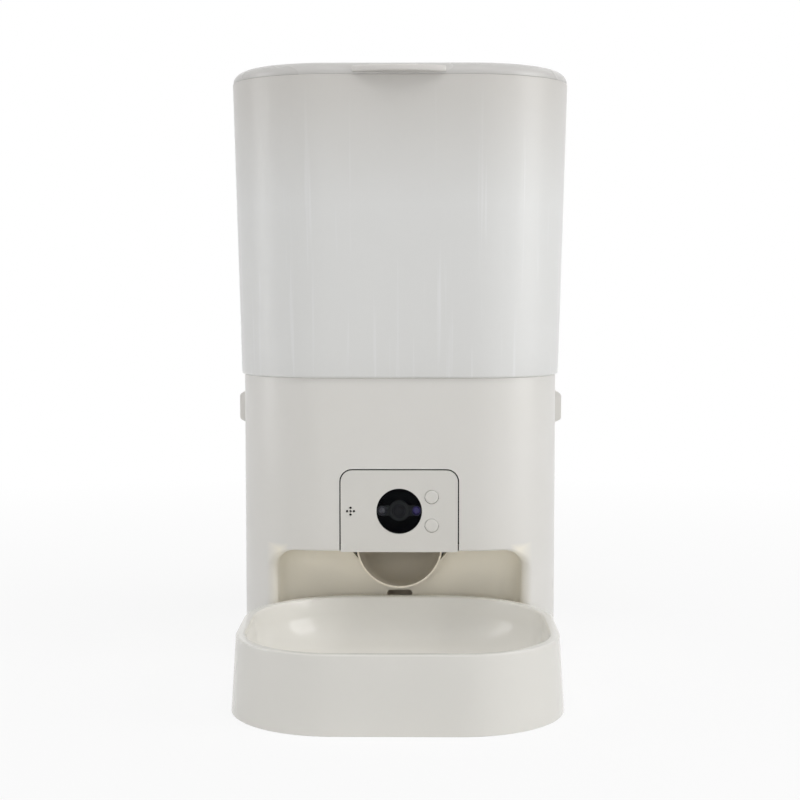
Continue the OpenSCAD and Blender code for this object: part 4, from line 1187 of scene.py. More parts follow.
    def _wall(self, draft: Draft, strips: dict[int, list[list[Point3]]]) -> None:
        """Unrolled outer wall with its openings, rolled up round the base."""
        rect = self.rect
        length = rect.length
        top = self.top - self.rim
        walks = [w if w <= length / 2 else w - length for w in rect.walks()]
        walks = sorted({round(w, self.DIGITS) for w in [*walks, length / 2, -length / 2]})
        front = self._front_outline(strips)
        low = [w for w in walks if w > front[0][0] + self.EDGE_GAP]
        low_left = [w for w in walks if w < front[-1][0] - self.EDGE_GAP]
        levels = [self.bottom + (top - self.bottom) * k / self.LEVELS for k in range(self.LEVELS + 1)]
        outline = [(w, self.bottom) for w in low_left]
        outline += front[::-1]
        outline += [(w, self.bottom) for w in low]
        outline += self._inlet_edge(length / 2, levels[1:-1], 180)
        outline += [(w, top) for w in reversed(walks)]
        outline += reversed(self._inlet_edge(-length / 2, levels[1:-1], 0))
        side_walk = self.width / 2 - self.corner + math.pi / 2 * self.corner + self.depth / 2 - self.corner
        pad = slab_outline(2 * self.pad_half, self.pad_high - self.pad_low, self.pad_corner)
        pad_mid = (self.pad_low + self.pad_high) / 2
        holes = [[(s * side_walk + a, pad_mid + b) for a, b in pad] for s in (1, -1)]
        loops = [outline, *holes]
        inner = []
        gap = self.OPENING_GAP
        for walk in walks[1:-1]:
            for z in levels[1:-1]:
                spread = [(walk + a, z + b) for a, b in ((0, 0), (gap, 0), (-gap, 0), (0, gap), (0, -gap))]
                if all(is_inside(p, loops) for p in spread):
                    inner.append((walk, z))

        def rolled(point: Point2) -> Point3:
            """A point of the unrolled wall, on the base."""
            place, _ = rect.at(point[0])
            return place.x, place.y, point[1]

        draft.flat(loops, rolled, inner)

    def _alcove(self, draft: Draft, strips: dict[int, list[list[Point3]]]) -> None:
        """Sides, ceiling and back wall of the alcove."""
        half = self.alcove_width / 2
        back = FACE_Y + self.alcove_depth
        turn_y = back - self.alcove_back
        corner_x = half - self.alcove_back
        turns = [math.radians(90 * k / self.BACK_STEPS) for k in range(1, self.BACK_STEPS + 1)]
        arch_rows = self.LEG_STEPS + self.ARCH_STEPS + 1
        sides: dict[int, list[list[Point3]]] = {}
        for side in (1, -1):
            rows = []
            for strip in strips[side][:arch_rows]:
                x, y, z = strip[-1]
                row = [(x, y + (turn_y - y) * k / self.SIDE_STEPS, z) for k in range(self.SIDE_STEPS + 1)]
                for turn in turns:
                    reach = min(abs(x), corner_x + self.alcove_back * math.cos(turn))
                    row.append((side * reach, turn_y + self.alcove_back * math.sin(turn), z))
                rows.append(row)
            draft.grid(rows)
            sides[side] = rows
        notch_y = FACE_Y + self.hole_front
        nick_y = back - self.HAIR
        front = [(s[-1][0], s[-1][1]) for s in strips[1][arch_rows - 1 :]]
        front += [(s[-1][0], s[-1][1]) for s in reversed(strips[-1][arch_rows - 1 :])]
        ceiling = front + [(p[0], p[1]) for p in sides[-1][-1][1:]]
        ceiling += [(-self.hole - self.splay, back), (-self.hole, nick_y), (-self.hole, notch_y)]
        ceiling += [(self.hole, notch_y), (self.hole, nick_y), (self.hole + self.splay, back)]
        ceiling += [(p[0], p[1]) for p in reversed(sides[1][-1][1:])]
        draft.flat([ceiling], lambda p: (p[0], p[1], self.alcove_top))
        foot = math.degrees(math.asin(self.notch / self.hole))
        rear = [(p[-1][0], p[-1][2]) for p in sides[1]]
        rear.append((self.hole + self.splay, self.alcove_top))
        rear += arc((0, self.alcove_top), self.hole, -foot, -180 + foot, self.HOLE_STEPS)
        rear.append((-self.hole - self.splay, self.alcove_top))
        rear += [(p[-1][0], p[-1][2]) for p in reversed(sides[-1])]
        slot = soften(
            [
                (-self.slot_half, self.slot_low, self.slot_foot),
                (self.slot_half, self.slot_low, self.slot_foot),
                (self.slot_half, self.slot_high, self.slot_corner),
                (-self.slot_half, self.slot_high, self.slot_corner),
            ],
            True,
        )
        draft.flat([rear, slot], lambda p: (p[0], back, p[1]))

    def liner(self) -> bpy.types.Object:
        """Pocket behind the slot, which the bowl's tongue points into."""
        start = FACE_Y + self.alcove_depth + self.wall
        end = start + self.liner_depth
        middle = (0, (self.slot_low + self.slot_high) / 2)
        width, height, corner = 2 * self.slot_half, self.slot_high - self.slot_low, self.slot_corner
        wall = self.liner_wall
        inner = slab_outline(width, height, corner, middle)
        outer = slab_outline(width + 2 * wall, height + 2 * wall, corner + wall, middle)
        draft = Draft()
        draft.prism([outer, inner], start, end, Axis.Y)
        draft.prism([outer], end, end + wall, Axis.Y)
        return draft.finish("tongue_slot_liner", CRISP)

    def build(self) -> bpy.types.Object:
        """The finished shell."""
        draft = Draft()
        strips = {side: self._edge_strip(side) for side in (1, -1)}
        for side in (1, -1):
            draft.grid(strips[side])
        self._wall(draft, strips)
        self._alcove(draft, strips)
        top = self.top
        edge = [(0, top - self.rim, 0), (0, top, self.rim)]
        edge += [(-self.shelf, top, self.shelf_edge), (-self.shelf, top - self.shelf_drop, 0)]
        draft.sweep(self.rect, soften(edge, False), close=False)
        shell = draft.finish("base_shell", merge=WALL_MERGE)
        side_face = max(shell.data.polygons, key=lambda p: p.center.x)
        if side_face.normal.x < 0:
            shell.data.flip_normals()
        thick = shell.modifiers.new("Wall", "SOLIDIFY")
        thick.thickness = self.wall * MM
        thick.offset = -1
        thick.use_even_offset = True
        thick.use_quality_normals = True
        thick.thickness_clamp = 1.0
        bake_modifiers(shell, self.SMOOTH)
        return shell


@dataclass
class CameraUnit:
    """Panel with the camera window, its lens and lamps, the microphone holes and the two push buttons.

    Depths count from the base's front face.

    Attributes:
        half: Half width of the panel.
        low: Lower edge of the panel.
        high: Upper edge of the panel.
        corner: Radius of its upper corners.
        foot: Radius of its lower corners.
        thick: Thickness of the panel.
        edge: Rounding of its edges.
        flange: How far the gasket behind it reaches past it.
        gasket: Thickness of the gasket.
        gasket_low: Lower edge of the gasket.
        axis: Height of the camera's axis.
        play: Gap round the window and the lamps.
        fit: Gap between the lens collar and the barrel, and the collar's overlap with the bar.
        window: Radius of the window.
        window_edge: Rounding of the window.
        window_bevel: How far that rounding's middle lies in from the corner.
        glass: Thickness of the window.
        gap: Gap between window and lens.
        collar: Radius of the lens collar.
        collar_lead: Bevel inside the collar.
        collar_lip: Width of that bevel.
        collar_edge: Bevel outside the collar.
        barrel: Radius of the lens barrel.
        barrel_edge: Bevel of the barrel.
        barrel_front: Depth of the barrel's face behind the collar's.
        rings: Radius of each step inside the barrel, and its depth behind the collar's face.
        eye: Radius of the front glass.
        eye_rise: How far the front glass is domed.
        lamp_x: Sideways place of each lamp.
        lamp: Radius of a lamp.
        lamp_gap: Gap between window and lamp.
        cup: Radius of the bright cup round a lamp.
        cup_gap: Gap between window and cup, and the height of the cup's inner edge.
        bar: Width, height and corner radius of the bar that holds the lamps.
        bar_drop: How far the bar lies behind the collar's face.
        bar_rear: Depth of the bar's rear.
        seat: Radius of the black disc behind the bar.
        seat_front: Depth of that disc's face.
        button_x: Sideways place of the buttons.
        button_z: Height of a button over or under the axis.
        button: Radius of a button.
        button_gap: Gap round a button.
        proud: How far a button stands proud.
        crown: How far a button's face is crowned.
        button_edge: The rounding's points, each as distances in from the rim and behind the face.
        stem: Depth of the flange behind a button.
        stem_end: Depth of that flange's rear.
        stem_flange: Radius of that flange.
        mic_x: Sideways place of the microphone.
        mic_pitch: Spacing of its holes.
        mic_hole: Radius of a hole.
        board: Depth of the board.
    """

    half: float = 32.5
    low: float = 68.0
    high: float = 113.6
    corner: float = 6.4
    foot: float = 0.5
    thick: float = 2.5
    edge: float = 0.15
    flange: float = 3.5
    gasket: float = 2.0
    gasket_low: float = 71.9
    axis: float = 90.8
    play: float = 0.05
    fit: float = 0.1
    window: float = 12.6
    window_edge: float = 0.35
    window_bevel: float = 0.1
    glass: float = 1.2
    gap: float = 0.3
    collar: float = 5.8
    collar_lead: float = 0.3
    collar_lip: float = 0.25
    collar_edge: float = 0.5
    barrel: float = 3.7
    barrel_edge: float = 0.15
    barrel_front: float = 0.4
    rings: tuple[Point2, ...] = ((2.9, 0.4), (2.8, 0.9), (2.55, 0.9), (2.45, 1.3))
    eye: float = 2.4
    eye_rise: float = 0.55
    lamp_x: float = 9.6
    lamp: float = 2.1
    lamp_gap: float = 1.3
    cup: float = 2.65
    cup_gap: float = 0.9
    bar: Point3 = (24.8, 5.6, 2.6)
    bar_drop: float = 0.6
    bar_rear: float = 5.5
    seat: float = 13.8
    seat_front: float = 4.5
    button_x: float = 18.0
    button_z: float = 8.0
    button: float = 3.7
    button_gap: float = 0.2
    proud: float = 0.4
    crown: float = 0.12
    button_edge: tuple[Point2, ...] = ((0.18, 0.16), (0.04, 0.3), (0.0, 0.5))
    stem: float = 4.6
    stem_end: float = 5.2
    stem_flange: float = 5.0
    mic_x: float = -27.0
    mic_pitch: float = 1.87
    mic_hole: float = 0.72
    board: float = 8.5

    DOME_ANGLES = (0, 0.3, 0.6, 0.9, 1.2, 1.57)
    EYE_ANGLES = (0.0, 0.4, 0.8, 1.2)
    CROWN_STEPS = 6

    # Steps round the window, the lens, a button, a button's hole, a lamp and a microphone hole
    WINDOW_STEPS = 96
    LENS_STEPS = 64
    BUTTON_STEPS = 48
    HOLE_STEPS = 40
    LAMP_STEPS = 32
    MIC_STEPS = 14

    def _turned(
        self,
        name: str,
        steps: int,
        *profiles: Sequence[Point2],
        x: float = 0,
        z: float = 0,
        smooth: float = CRISP,
    ) -> bpy.types.Object:
        """Turns profiles round an axis that runs straight back.

        Args:
            name: Name of the piece.
            steps: Steps round the circle.
            profiles: The parts of one profile, as pairs of radius and depth.
            x: Sideways place of the axis.
            z: Height of the axis over the camera's.
            smooth: Largest angle in degrees between faces that still shade as one.

        Returns:
            The piece.
        """
        draft = Draft()
        whole = [point for profile in profiles for point in profile]
        draft.lathe(whole, (x, FACE_Y, self.axis + z), Axis.Y, steps)
        return draft.finish(name, smooth)

    def _pushed(
        self, name: str, loops: Sequence[Sequence[Point2]], front: float, rear: float, smooth: float = 35
    ) -> bpy.types.Object:
        """Pushes an outline with holes straight back from one depth to another.

        Args:
            name: Name of the piece.
            loops: The outline and then its holes.
            front: Depth of its face.
            rear: Depth of its rear.
            smooth: Largest angle in degrees between faces that still shade as one.

        Returns:
            The piece.
        """
        draft = Draft()
        draft.prism(loops, FACE_Y + front, FACE_Y + rear, Axis.Y)
        return draft.finish(name, smooth)

    def _lamp_rings(self, radius: float) -> list[list[Point2]]:
        """Circles round both lamps, and the one inside the lens collar."""
        circles = [ring((side * self.lamp_x, self.axis), radius, self.LAMP_STEPS) for side in (1, -1)]
        return [*circles, ring((0, self.axis), self.collar - self.fit, self.BUTTON_STEPS)]

    def _holes(self) -> list[list[Point2]]:
        """Holes of the panel, seen from the front."""
        holes = [ring((0, self.axis), self.window + self.play, self.LENS_STEPS)]
        for sign in (1, -1):
            spot = (self.button_x, self.axis + sign * self.button_z)
            holes.append(ring(spot, self.button + self.button_gap, self.HOLE_STEPS))
        for x, z in ((0, 0), (1, 0), (-1, 0), (0, 1), (0, -1)):
            spot = (self.mic_x + x * self.mic_pitch, self.axis + z * self.mic_pitch)
            holes.append(ring(spot, self.mic_hole, self.MIC_STEPS))
        return holes

    def _outline(self, grow: float, low: float) -> list[Point2]:
        """Outline of the panel, made larger by a margin and cut off at a height."""
        half, high, corner = self.half + grow, self.high + grow, self.corner + grow
        feet = [(-half, low, self.foot), (half, low, self.foot)]
        return soften([*feet, (half, high, corner), (-half, high, corner)], True, OUTLINE_STEPS)

    def panel(self) -> bpy.types.Object:
        """The panel itself."""
        loops = [self._outline(0, self.low), *self._holes()]
        plate = self._pushed("camera_panel_face", loops, 0, self.thick)
        round_edges(plate, self.edge, EDGE_ANGLE, 2)
        return plate

    def panel_gasket(self) -> bpy.types.Object:
        """Dark gasket behind the panel, which shows through the slit round it."""
        loops = [self._outline(self.flange, self.gasket_low), *self._holes()]
        return self._pushed("camera_panel_gasket", loops, self.thick, self.thick + self.gasket)

    def window_glass(self) -> bpy.types.Object:
        """The black window, a thin disc with a soft edge."""
        radius, edge, bevel = self.window, self.window_edge, self.window_bevel
        face = [(0, 0.0), (radius - edge, 0.0), (radius - bevel, bevel), (radius, edge)]
        rear = [(radius, self.glass), (0, self.glass)]
        return self._turned("camera_window_glass", self.WINDOW_STEPS, face, rear)

    def lens(self) -> bpy.types.Object:
        """Lens barrel with stepped rings and a domed front glass."""
        front = self.glass + self.gap
        face = front + self.barrel_front
        side = [(0, self.board), (self.barrel, self.board), (self.barrel, face + self.barrel_edge)]
        steps = [(self.barrel - self.barrel_edge, face)]
        steps += [(radius, front + deep) for radius, deep in self.rings]
        foot = steps[-1][1]
        dome = [(self.eye * math.cos(a), foot - self.eye_rise * math.sin(a)) for a in self.EYE_ANGLES]
        tip = [(0, foot - self.eye_rise)]
        return self._turned("lens_barrel", self.LENS_STEPS, side, steps, dome, tip, smooth=FACETED)

    def lamp_dome(self, name: str, side: int) -> bpy.types.Object:
        """One infrared lamp with a domed end.

        Args:
            name: Name of the piece.
            side: 1 for the right lamp and -1 for the left.

        Returns:
            The lamp.
        """
        front, radius = self.glass + self.lamp_gap, self.lamp
        dome = [(radius * math.sin(a), front + radius * (1 - math.cos(a))) for a in self.DOME_ANGLES]
        rear = [(radius, self.board), (0, self.board)]
        return self._turned(name, self.LAMP_STEPS, dome, rear, x=side * self.lamp_x)

    def bezel(self) -> bpy.types.Object:
        """Lens collar and the bar that holds the lamps."""
        front = self.glass + self.gap
        inner, outer = self.barrel + self.fit, self.collar
        profile = [(inner, self.board), (inner, front + self.collar_lead), (inner + self.collar_lip, front)]
        edge = self.collar_edge
        profile += [(outer - edge, front), (outer, front + edge), (outer, self.board)]
        draft = Draft()
        draft.lathe([*profile, profile[0]], (0, FACE_Y, self.axis), Axis.Y, self.LENS_STEPS)
        loops = [slab_outline(*self.bar, (0, self.axis)), *self._lamp_rings(self.cup)]
        draft.prism(loops, FACE_Y + front + self.bar_drop, FACE_Y + self.bar_rear, Axis.Y)
        return draft.finish("camera_bezel", CRISP)

    def cups(self) -> bpy.types.Object:
        """Bright cone round each lamp."""
        front, rear = self.glass + self.cup_gap, self.bar_rear
        inner, outer = self.lamp + self.play, self.cup
        wall = [(outer, front), (outer, rear), (inner, rear), (inner, rear - self.cup_gap), (outer, front)]
        draft = Draft()
        for side in (1, -1):
            draft.lathe(wall, (side * self.lamp_x, FACE_Y, self.axis), Axis.Y, self.LAMP_STEPS)
        return draft.finish("lamp_cups", CRISP)

    def seat_disc(self) -> bpy.types.Object:
        """Black disc behind the window that carries the bezel."""
        disc = ring((0, self.axis), self.seat, self.LENS_STEPS)
        loops = [disc, *self._lamp_rings(self.lamp + self.play)]
        return self._pushed("camera_seat", loops, self.seat_front, self.board, CRISP)

    def button_cap(self, name: str, sign: int) -> bpy.types.Object:
        """A push button with a crowned face and a rear flange.

        Args:
            name: Name of the piece.
            sign: 1 for the upper button and -1 for the lower one.

        Returns:
            The button.
        """
        radius, face = self.button, -self.proud
        shares = [k / self.CROWN_STEPS for k in range(self.CROWN_STEPS)]
        crown = [(radius * share, face + self.crown * share**2) for share in shares]
        edge = [(radius - inward, face + deep) for inward, deep in self.button_edge]
        stem = [(radius, self.stem), (self.stem_flange, self.stem), (self.stem_flange, self.stem_end)]
        spot = {"x": self.button_x, "z": sign * self.button_z}
        rear = [(0, self.stem_end)]
        return self._turned(name, self.BUTTON_STEPS, crown, edge, stem, rear, smooth=ROUNDED, **spot)

    def build(self) -> None:
        """Makes and settles every piece of the camera unit."""
        for piece, finish, node in (
            (self.panel(), Finishes.PANEL, "camera_panel"),
            (self.panel_gasket(), Finishes.INK, "camera_panel"),
            (self.window_glass(), Finishes.WINDOW, "camera_window"),
            (self.lens(), Finishes.LENS, "camera_lens"),
            (self.lamp_dome("infrared_lamp_left", -1), Finishes.LAMP_GREY, "infrared_lamps"),
            (self.lamp_dome("infrared_lamp_right", 1), Finishes.LAMP_VIOLET, "infrared_lamps"),
            (self.bezel(), Finishes.BEZEL, "camera_carrier"),
            (self.cups(), Finishes.STEEL, "camera_carrier"),
            (self.seat_disc(), Finishes.INK, "camera_carrier"),
        ):
            settle(piece, finish, "base", node)
        for body, sign in (("feed_button", 1), ("reset_button", -1)):
            settle(self.button_cap(f"{body}_cap", sign), Finishes.PANEL, body, body)


def join(name: str, *pieces: bpy.types.Object) -> bpy.types.Object:
    """Joins finished meshes into one object.

    Args:
        name: Name of the joined piece.
        pieces: The objects, which are used up.

    Returns:
        The joined object.
    """
    work = bmesh.new()
    for piece in pieces:
        work.from_mesh(piece.data)
    mesh = bpy.data.meshes.new(name)
    work.to_mesh(mesh)
    work.free()
    for piece in pieces:
        old = piece.data
        bpy.data.objects.remove(piece)
        bpy.data.meshes.remove(old)
    shade(mesh, SMOOTH)
    return put(name, mesh)


@dataclass
class FoodChute:
    """Half-pipe from the deck to the alcove, with a rounded mouth.

    Attributes:
        radius: Outer radius.
        wall: Wall thickness.
        mouth: Place of the mouth along Y.
        axis: Height of the level part's axis.
        bend_y: Where the level part turns up.
        bend: Radius of that turn.
        slope: Slope in degrees.
        sides: How far the sides rise on the slope.
        deck: Height of the deck's underside.
        sink: How far under the deck the slope's lower edge ends.
        flange: Thickness of the flange under the deck.
        flange_over: How far the flange reaches past the pipe.
        outlet_y: Middle of the outlet above, along Y.
        flange_front: How far the flange reaches in front of that middle.
        flange_rear: How far it reaches behind that middle.
        hole_front: How far the middle of the flange's hole lies in front of it.
    """

    radius: float = 24.3
    wall: float = 0.9
    mouth: float = -14.887
    axis: float = 69.4
    bend_y: float = -1.887
    bend: float = 10.0
    slope: float = 60.0
    sides: float = 6.0
    deck: float = 98.0
    sink: float = 1.0
    flange: float = 2.0
    flange_over: float = 4.7
    outlet_y: float = BODY_Y - 35
    flange_front: float = 22.0
    flange_rear: float = 17.2
    hole_front: float = 12.5

    # Steps of the level part, the turn, the slope, the pipe's round, its edges and the flange's hole
    LEVEL_STEPS = 4
    TURN_STEPS = 12
    SLOPE_STEPS = 6
    PIPE_STEPS = 40
    EDGE_STEPS = 6
    HOLE_STEPS = 24

    def _section(self, rise: float) -> list[Point2]:
        """Closed section of the half-pipe, its sides raised, with round upper edges."""
        outer, inner = self.radius, self.radius - self.wall
        middle = (outer + inner) / 2
        half = self.wall / 2
        right, left = (arc((x, rise - half), half, 0, 180, self.EDGE_STEPS) for x in (middle, -middle))
        lower = arc((0, 0), outer, 180, 360, self.PIPE_STEPS)
        upper = arc((0, 0), inner, 360, 180, self.PIPE_STEPS)
        return [*right, *upper, *left, *lower]

    def build(self) -> bpy.types.Object:
        """The finished chute with its flange under the deck."""
        turn = math.radians(self.slope)
        start = self.bend_y - self.bend * math.tan(turn / 2)
        stations: list[tuple[float, float, float, float]] = []
        for k in range(self.LEVEL_STEPS + 1):
            stations.append((self.mouth + (start - self.mouth) * k / self.LEVEL_STEPS, self.axis, 0.0, 0.0))
        for k in range(1, self.TURN_STEPS + 1):
            angle = turn * k / self.TURN_STEPS
            y = start + self.bend * math.sin(angle)
            z = self.axis + self.bend * (1 - math.cos(angle))
            stations.append((y, z, angle, self.sides * k / self.TURN_STEPS))
        y, z, angle, rise = stations[-1]
        run = (self.deck - z - self.sink + self.radius * math.cos(turn)) / math.sin(turn)
        for k in range(1, self.SLOPE_STEPS + 1):
            far = run * k / self.SLOPE_STEPS
            stations.append((y + far * math.cos(turn), z + far * math.sin(turn), angle, rise))
        rows = []
        for y, z, angle, rise in stations:
            row = []
            for x, up in self._section(max(rise, self.wall / 2)):
                height = z + up * math.cos(angle)
                row.append((x, y - up * math.sin(angle), min(height, self.deck)))
            rows.append(row)
        draft = Draft()
        draft.grid(rows, wrap=True)
        count = len(rows[0])
        draft.add(rows[0], [range(count)])
        draft.add(rows[-1], [range(count - 1, -1, -1)])
        chute = draft.finish("food_chute_pipe", ROUNDED)
        flange = Draft()
        half, lead = self.radius + self.flange_over, self.radius - self.wall
        low_y, high_y = self.outlet_y - self.flange_front, self.outlet_y + self.flange_rear
        axis_y = self.outlet_y - self.hole_front
        reach = self.radius / math.sin(turn)
        turns = [math.pi * k / self.HOLE_STEPS for k in range(self.HOLE_STEPS + 1)]
        hole = [(lead * math.cos(a), axis_y + reach * math.sin(a)) for a in turns]
        outline = [(-half, low_y), (-lead, low_y), *reversed(hole), (lead, low_y), (half, low_y)]
        outline += [(half, high_y), (-half, high_y)]
        flange.prism([outline], self.deck - self.flange, self.deck, Axis.Z)
        return join("food_chute_pipe", chute, flange.finish("chute_flange"))


@dataclass
class ReleaseButtons:
    """The two release buttons at the sides, with their catch heads and springs.

    Attributes:
        outer: Half width of the base.
        low: Lower edge of a pad.
        height: Height of a pad.
        length: Length of a pad.
        proud: How far a pad stands proud.
        bevel: Bevel at its upper and lower edge.
        root: How far outside the base that bevel starts.
        root_soft: Rounding where the bevel starts.
        face_soft: Rounding where the bevel ends.
        edge: Rounding of the pad's other edges.
        rear_edge: Rounding of the edges inside the base.
        over: How far the flange reaches past the pad.
        flange_in: Inner face of the flange.
        flange_out: Outer face of the flange.
        stem: Half width of the stem.
        stem_height: Height of the stem.
        catch_in: Inner face of the catch head.
        catch_out: Outer face of the catch head.
        catch: Half width of the catch head.
        catch_bevel: Bevel of the catch head.
        guide: Outer face of the guide that carries the spring.
        coil: Radius of the spring's turns.
        wire: Diameter of its wire.
        turns: Number of its turns.
        travel: How far a pad is pressed; not used.
    """

    outer: float = 90.0
    low: float = 133.3
    height: float = 20.1
    length: float = 30.0
    proud: float = 6.2
    bevel: float = 2.5
    root: float = 1.0
    root_soft: float = 2.0
    face_soft: float = 2.4
    edge: float = 1.6
    rear_edge: float = 0.3
    over: float = 1.8
    flange_in: float = 85.4
    flange_out: float = 87.2
    stem: float = 4.0
    stem_height: float = 4.5
    catch_in: float = 66.7
    catch_out: float = 69.7
    catch: float = 12.0
    catch_bevel: float = 2.0
    guide: float = 77.0
    coil: float = 5.9
    wire: float = 0.9
    turns: float = 3.5
    travel: float = 3.6

    def pad(self, name: str, side: int) -> bpy.types.Object:
        """One release button.

        Args:
            name: Name of the piece.
            side: 1 for the right side and -1 for the left.

        Returns:
            The button.
        """
        low, high = self.low, self.low + self.height
        face = self.outer + self.proud
        outline = soften(
            [
                (self.flange_in, low, 0),
                (self.outer + self.root, low, self.root_soft),
                (face, low + self.bevel, self.face_soft),
                (face, high - self.bevel, self.face_soft),
                (self.outer + self.root, high, self.root_soft),
                (self.flange_in, high, 0),
            ],
            True,
            SOFT_STEPS,
        )
        body = Draft()
        span = self.length / 2
        body.prism([[(side * x, z) for x, z in outline]], BODY_Y - span, BODY_Y + span, Axis.Y)
        cap = body.finish("pad_cap")
        round_edges(cap, self.edge, EDGE_ANGLE, 5)
        rest = Draft()

        def block(x0: float, x1: float, half: float, z0: float, z1: float) -> None:
            """A block of the button's rear, on its own side."""
            a, b = sorted((side * x0, side * x1))
            rest.box((a, BODY_Y - half, z0), (b, BODY_Y + half, z1))

        top = self.low + self.stem_height
        block(self.flange_in, self.flange_out, span + self.over, low - self.over, high + self.over)
        block(self.catch_in, self.flange_in + self.root, self.stem, low, top)
        rear = rest.finish("pad_rear")
        round_edges(rear, self.rear_edge, EDGE_ANGLE, 2)
        head = Draft()
        tooth = [(self.catch_in, low), (self.catch_out, low), (self.catch_out, top - self.catch_bevel)]
        tooth += [(self.catch_out - self.catch_bevel, top), (self.catch_in, top)]
        head.prism([[(side * x, z) for x, z in tooth]], BODY_Y - self.catch, BODY_Y + self.catch, Axis.Y)
        claw = head.finish("pad_claw")
        round_edges(claw, self.rear_edge, steps=2)
        return join(name, cap, rear, claw)

    def spring(self, name: str, side: int) -> bpy.types.Object:
        """One coil spring, made by a node tree along its own axis."""
        length = self.flange_in - self.guide - self.wire
        middle = (self.low + self.stem_height / 2) * MM
        start = side * (self.guide + self.wire / 2) * MM
        return NodeShape.COIL.make(
            name,
            Finishes.STEEL,
            {
                "Turns": self.turns,
                "Radius": self.coil * MM,
                "Length": length * MM,
                "Wire": self.wire / 2 * MM,
            },
            Matrix.Translation((start, BODY_Y * MM, middle)) @ Matrix.Rotation(side * math.pi / 2, 4, "Y"),
        )

    def build(self) -> None:
        """Makes and settles both buttons and their springs."""
        for side, word in ((1, "right"), (-1, "left")):
            body = f"release_{word}"
            settle(self.pad(f"release_pad_{word}", side), Finishes.SHELL, body, f"release_button_{word}")
            coil = self.spring(f"release_coil_{word}", side)
            settle(coil, Finishes.STEEL, "base", f"release_spring_{word}")
            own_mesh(coil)


class NodeShape(Enum):
    """Shapes that repeat or follow a rule, each a geometry node tree with named sizes."""

    COIL = "Coil spring"
    SCREWS = "Screws"
    VANES = "Rotor vanes"
    SIEVE = "Perforated cover"

    def _tree(self) -> bpy.types.NodeTree:
        """The node tree, built at its first use."""
        found = bpy.data.node_groups.get(self.value)
        if found:
            return found
        tree = bpy.data.node_groups.new(self.value, "GeometryNodeTree")
        tree.interface.new_socket("Geometry", in_out="INPUT", socket_type="NodeSocketGeometry")
        graph = Graph(tree)
        makers = {
            NodeShape.COIL: self._coil,
            NodeShape.SCREWS: self._screws,
            NodeShape.VANES: self._vanes,
            NodeShape.SIEVE: self._sieve,
        }
        shape, material = makers[self](graph)
        real = graph.node("GeometryNodeRealizeInstances", {"Geometry": shape}).outputs["Geometry"]
        dressed = graph.node("GeometryNodeSetMaterial", {"Geometry": real, "Material": material})
        graph.outputs(Geometry=dressed.outputs["Geometry"])
        return tree

    @staticmethod
    def _coil(graph: Graph) -> tuple[Socket, Socket]:
        """A wire wound round an upright axis."""
        given = graph.inputs(Turns=3.0, Radius=0.005, Length=0.01, Wire=0.0005, Material=None)
        turn_steps, wire_steps = 40, 12
        line = graph.node(
            "GeometryNodeCurveSpiral",
            {
                "Resolution": turn_steps,
                "Rotations": given["Turns"],
                "Start Radius": given["Radius"],
                "End Radius": given["Radius"],
                "Height": given["Length"],
            },
        )
        round_wire = {"Resolution": wire_steps, "Radius": given["Wire"]}
        wire = graph.node("GeometryNodeCurvePrimitiveCircle", round_wire)
        tube = graph.node(
            "GeometryNodeCurveToMesh",
            {"Curve": line.outputs["Curve"], "Profile Curve": wire.outputs["Curve"], "Fill Caps": True},
        )
        return tube.outputs["Mesh"], given["Material"]

    @staticmethod
    def _screws(graph: Graph) -> tuple[Socket, Socket]:
        """A screw with a cross recess at each point of the given mesh, its head towards -Z of the tree."""
        given = graph.inputs(
            Head=0.0025, Head_Height=0.0016, Shank=0.0013, Shank_Length=0.012, Material=None
        )
        radius, tall, length = given["Head"], given["Head Height"], given["Shank Length"]
        wing_share, slit_share = 1.2, 0.26
        head_steps, shank_steps = 32, 24
        head = graph.node(
            "GeometryNodeMeshCone",
            {"Vertices": head_steps, "Radius Top": radius, "Radius Bottom": radius, "Depth": tall},
        )
        wing = graph.math("MULTIPLY", radius, wing_share)
        slit = graph.math("MULTIPLY", radius, slit_share)
        bars = []
        for x, y in ((wing, slit), (slit, wing)):
            bar = graph.node("GeometryNodeMeshCube", {"Size": graph.vector(X=x, Y=y, Z=tall)})
            bars.append(bar.outputs["Mesh"])
        cross = graph.moved(graph.boolean("UNION", None, *bars), Z=graph.math("MULTIPLY", tall, -0.5))
        recessed = graph.boolean("DIFFERENCE", head.outputs["Mesh"], cross)
        shank = graph.node(
            "GeometryNodeMeshCylinder",
            {"Vertices": shank_steps, "Radius": given["Shank"], "Depth": length},
        )
        rise = graph.math("ADD", graph.math("MULTIPLY", length, 0.5), tall)
        whole = graph.joined(recessed, graph.moved(shank.outputs["Mesh"], Z=rise))
        points = graph.node("GeometryNodeMeshToPoints", {"Mesh": given["Geometry"]}).outputs["Points"]
        return graph.copies(points, whole), given["Material"]

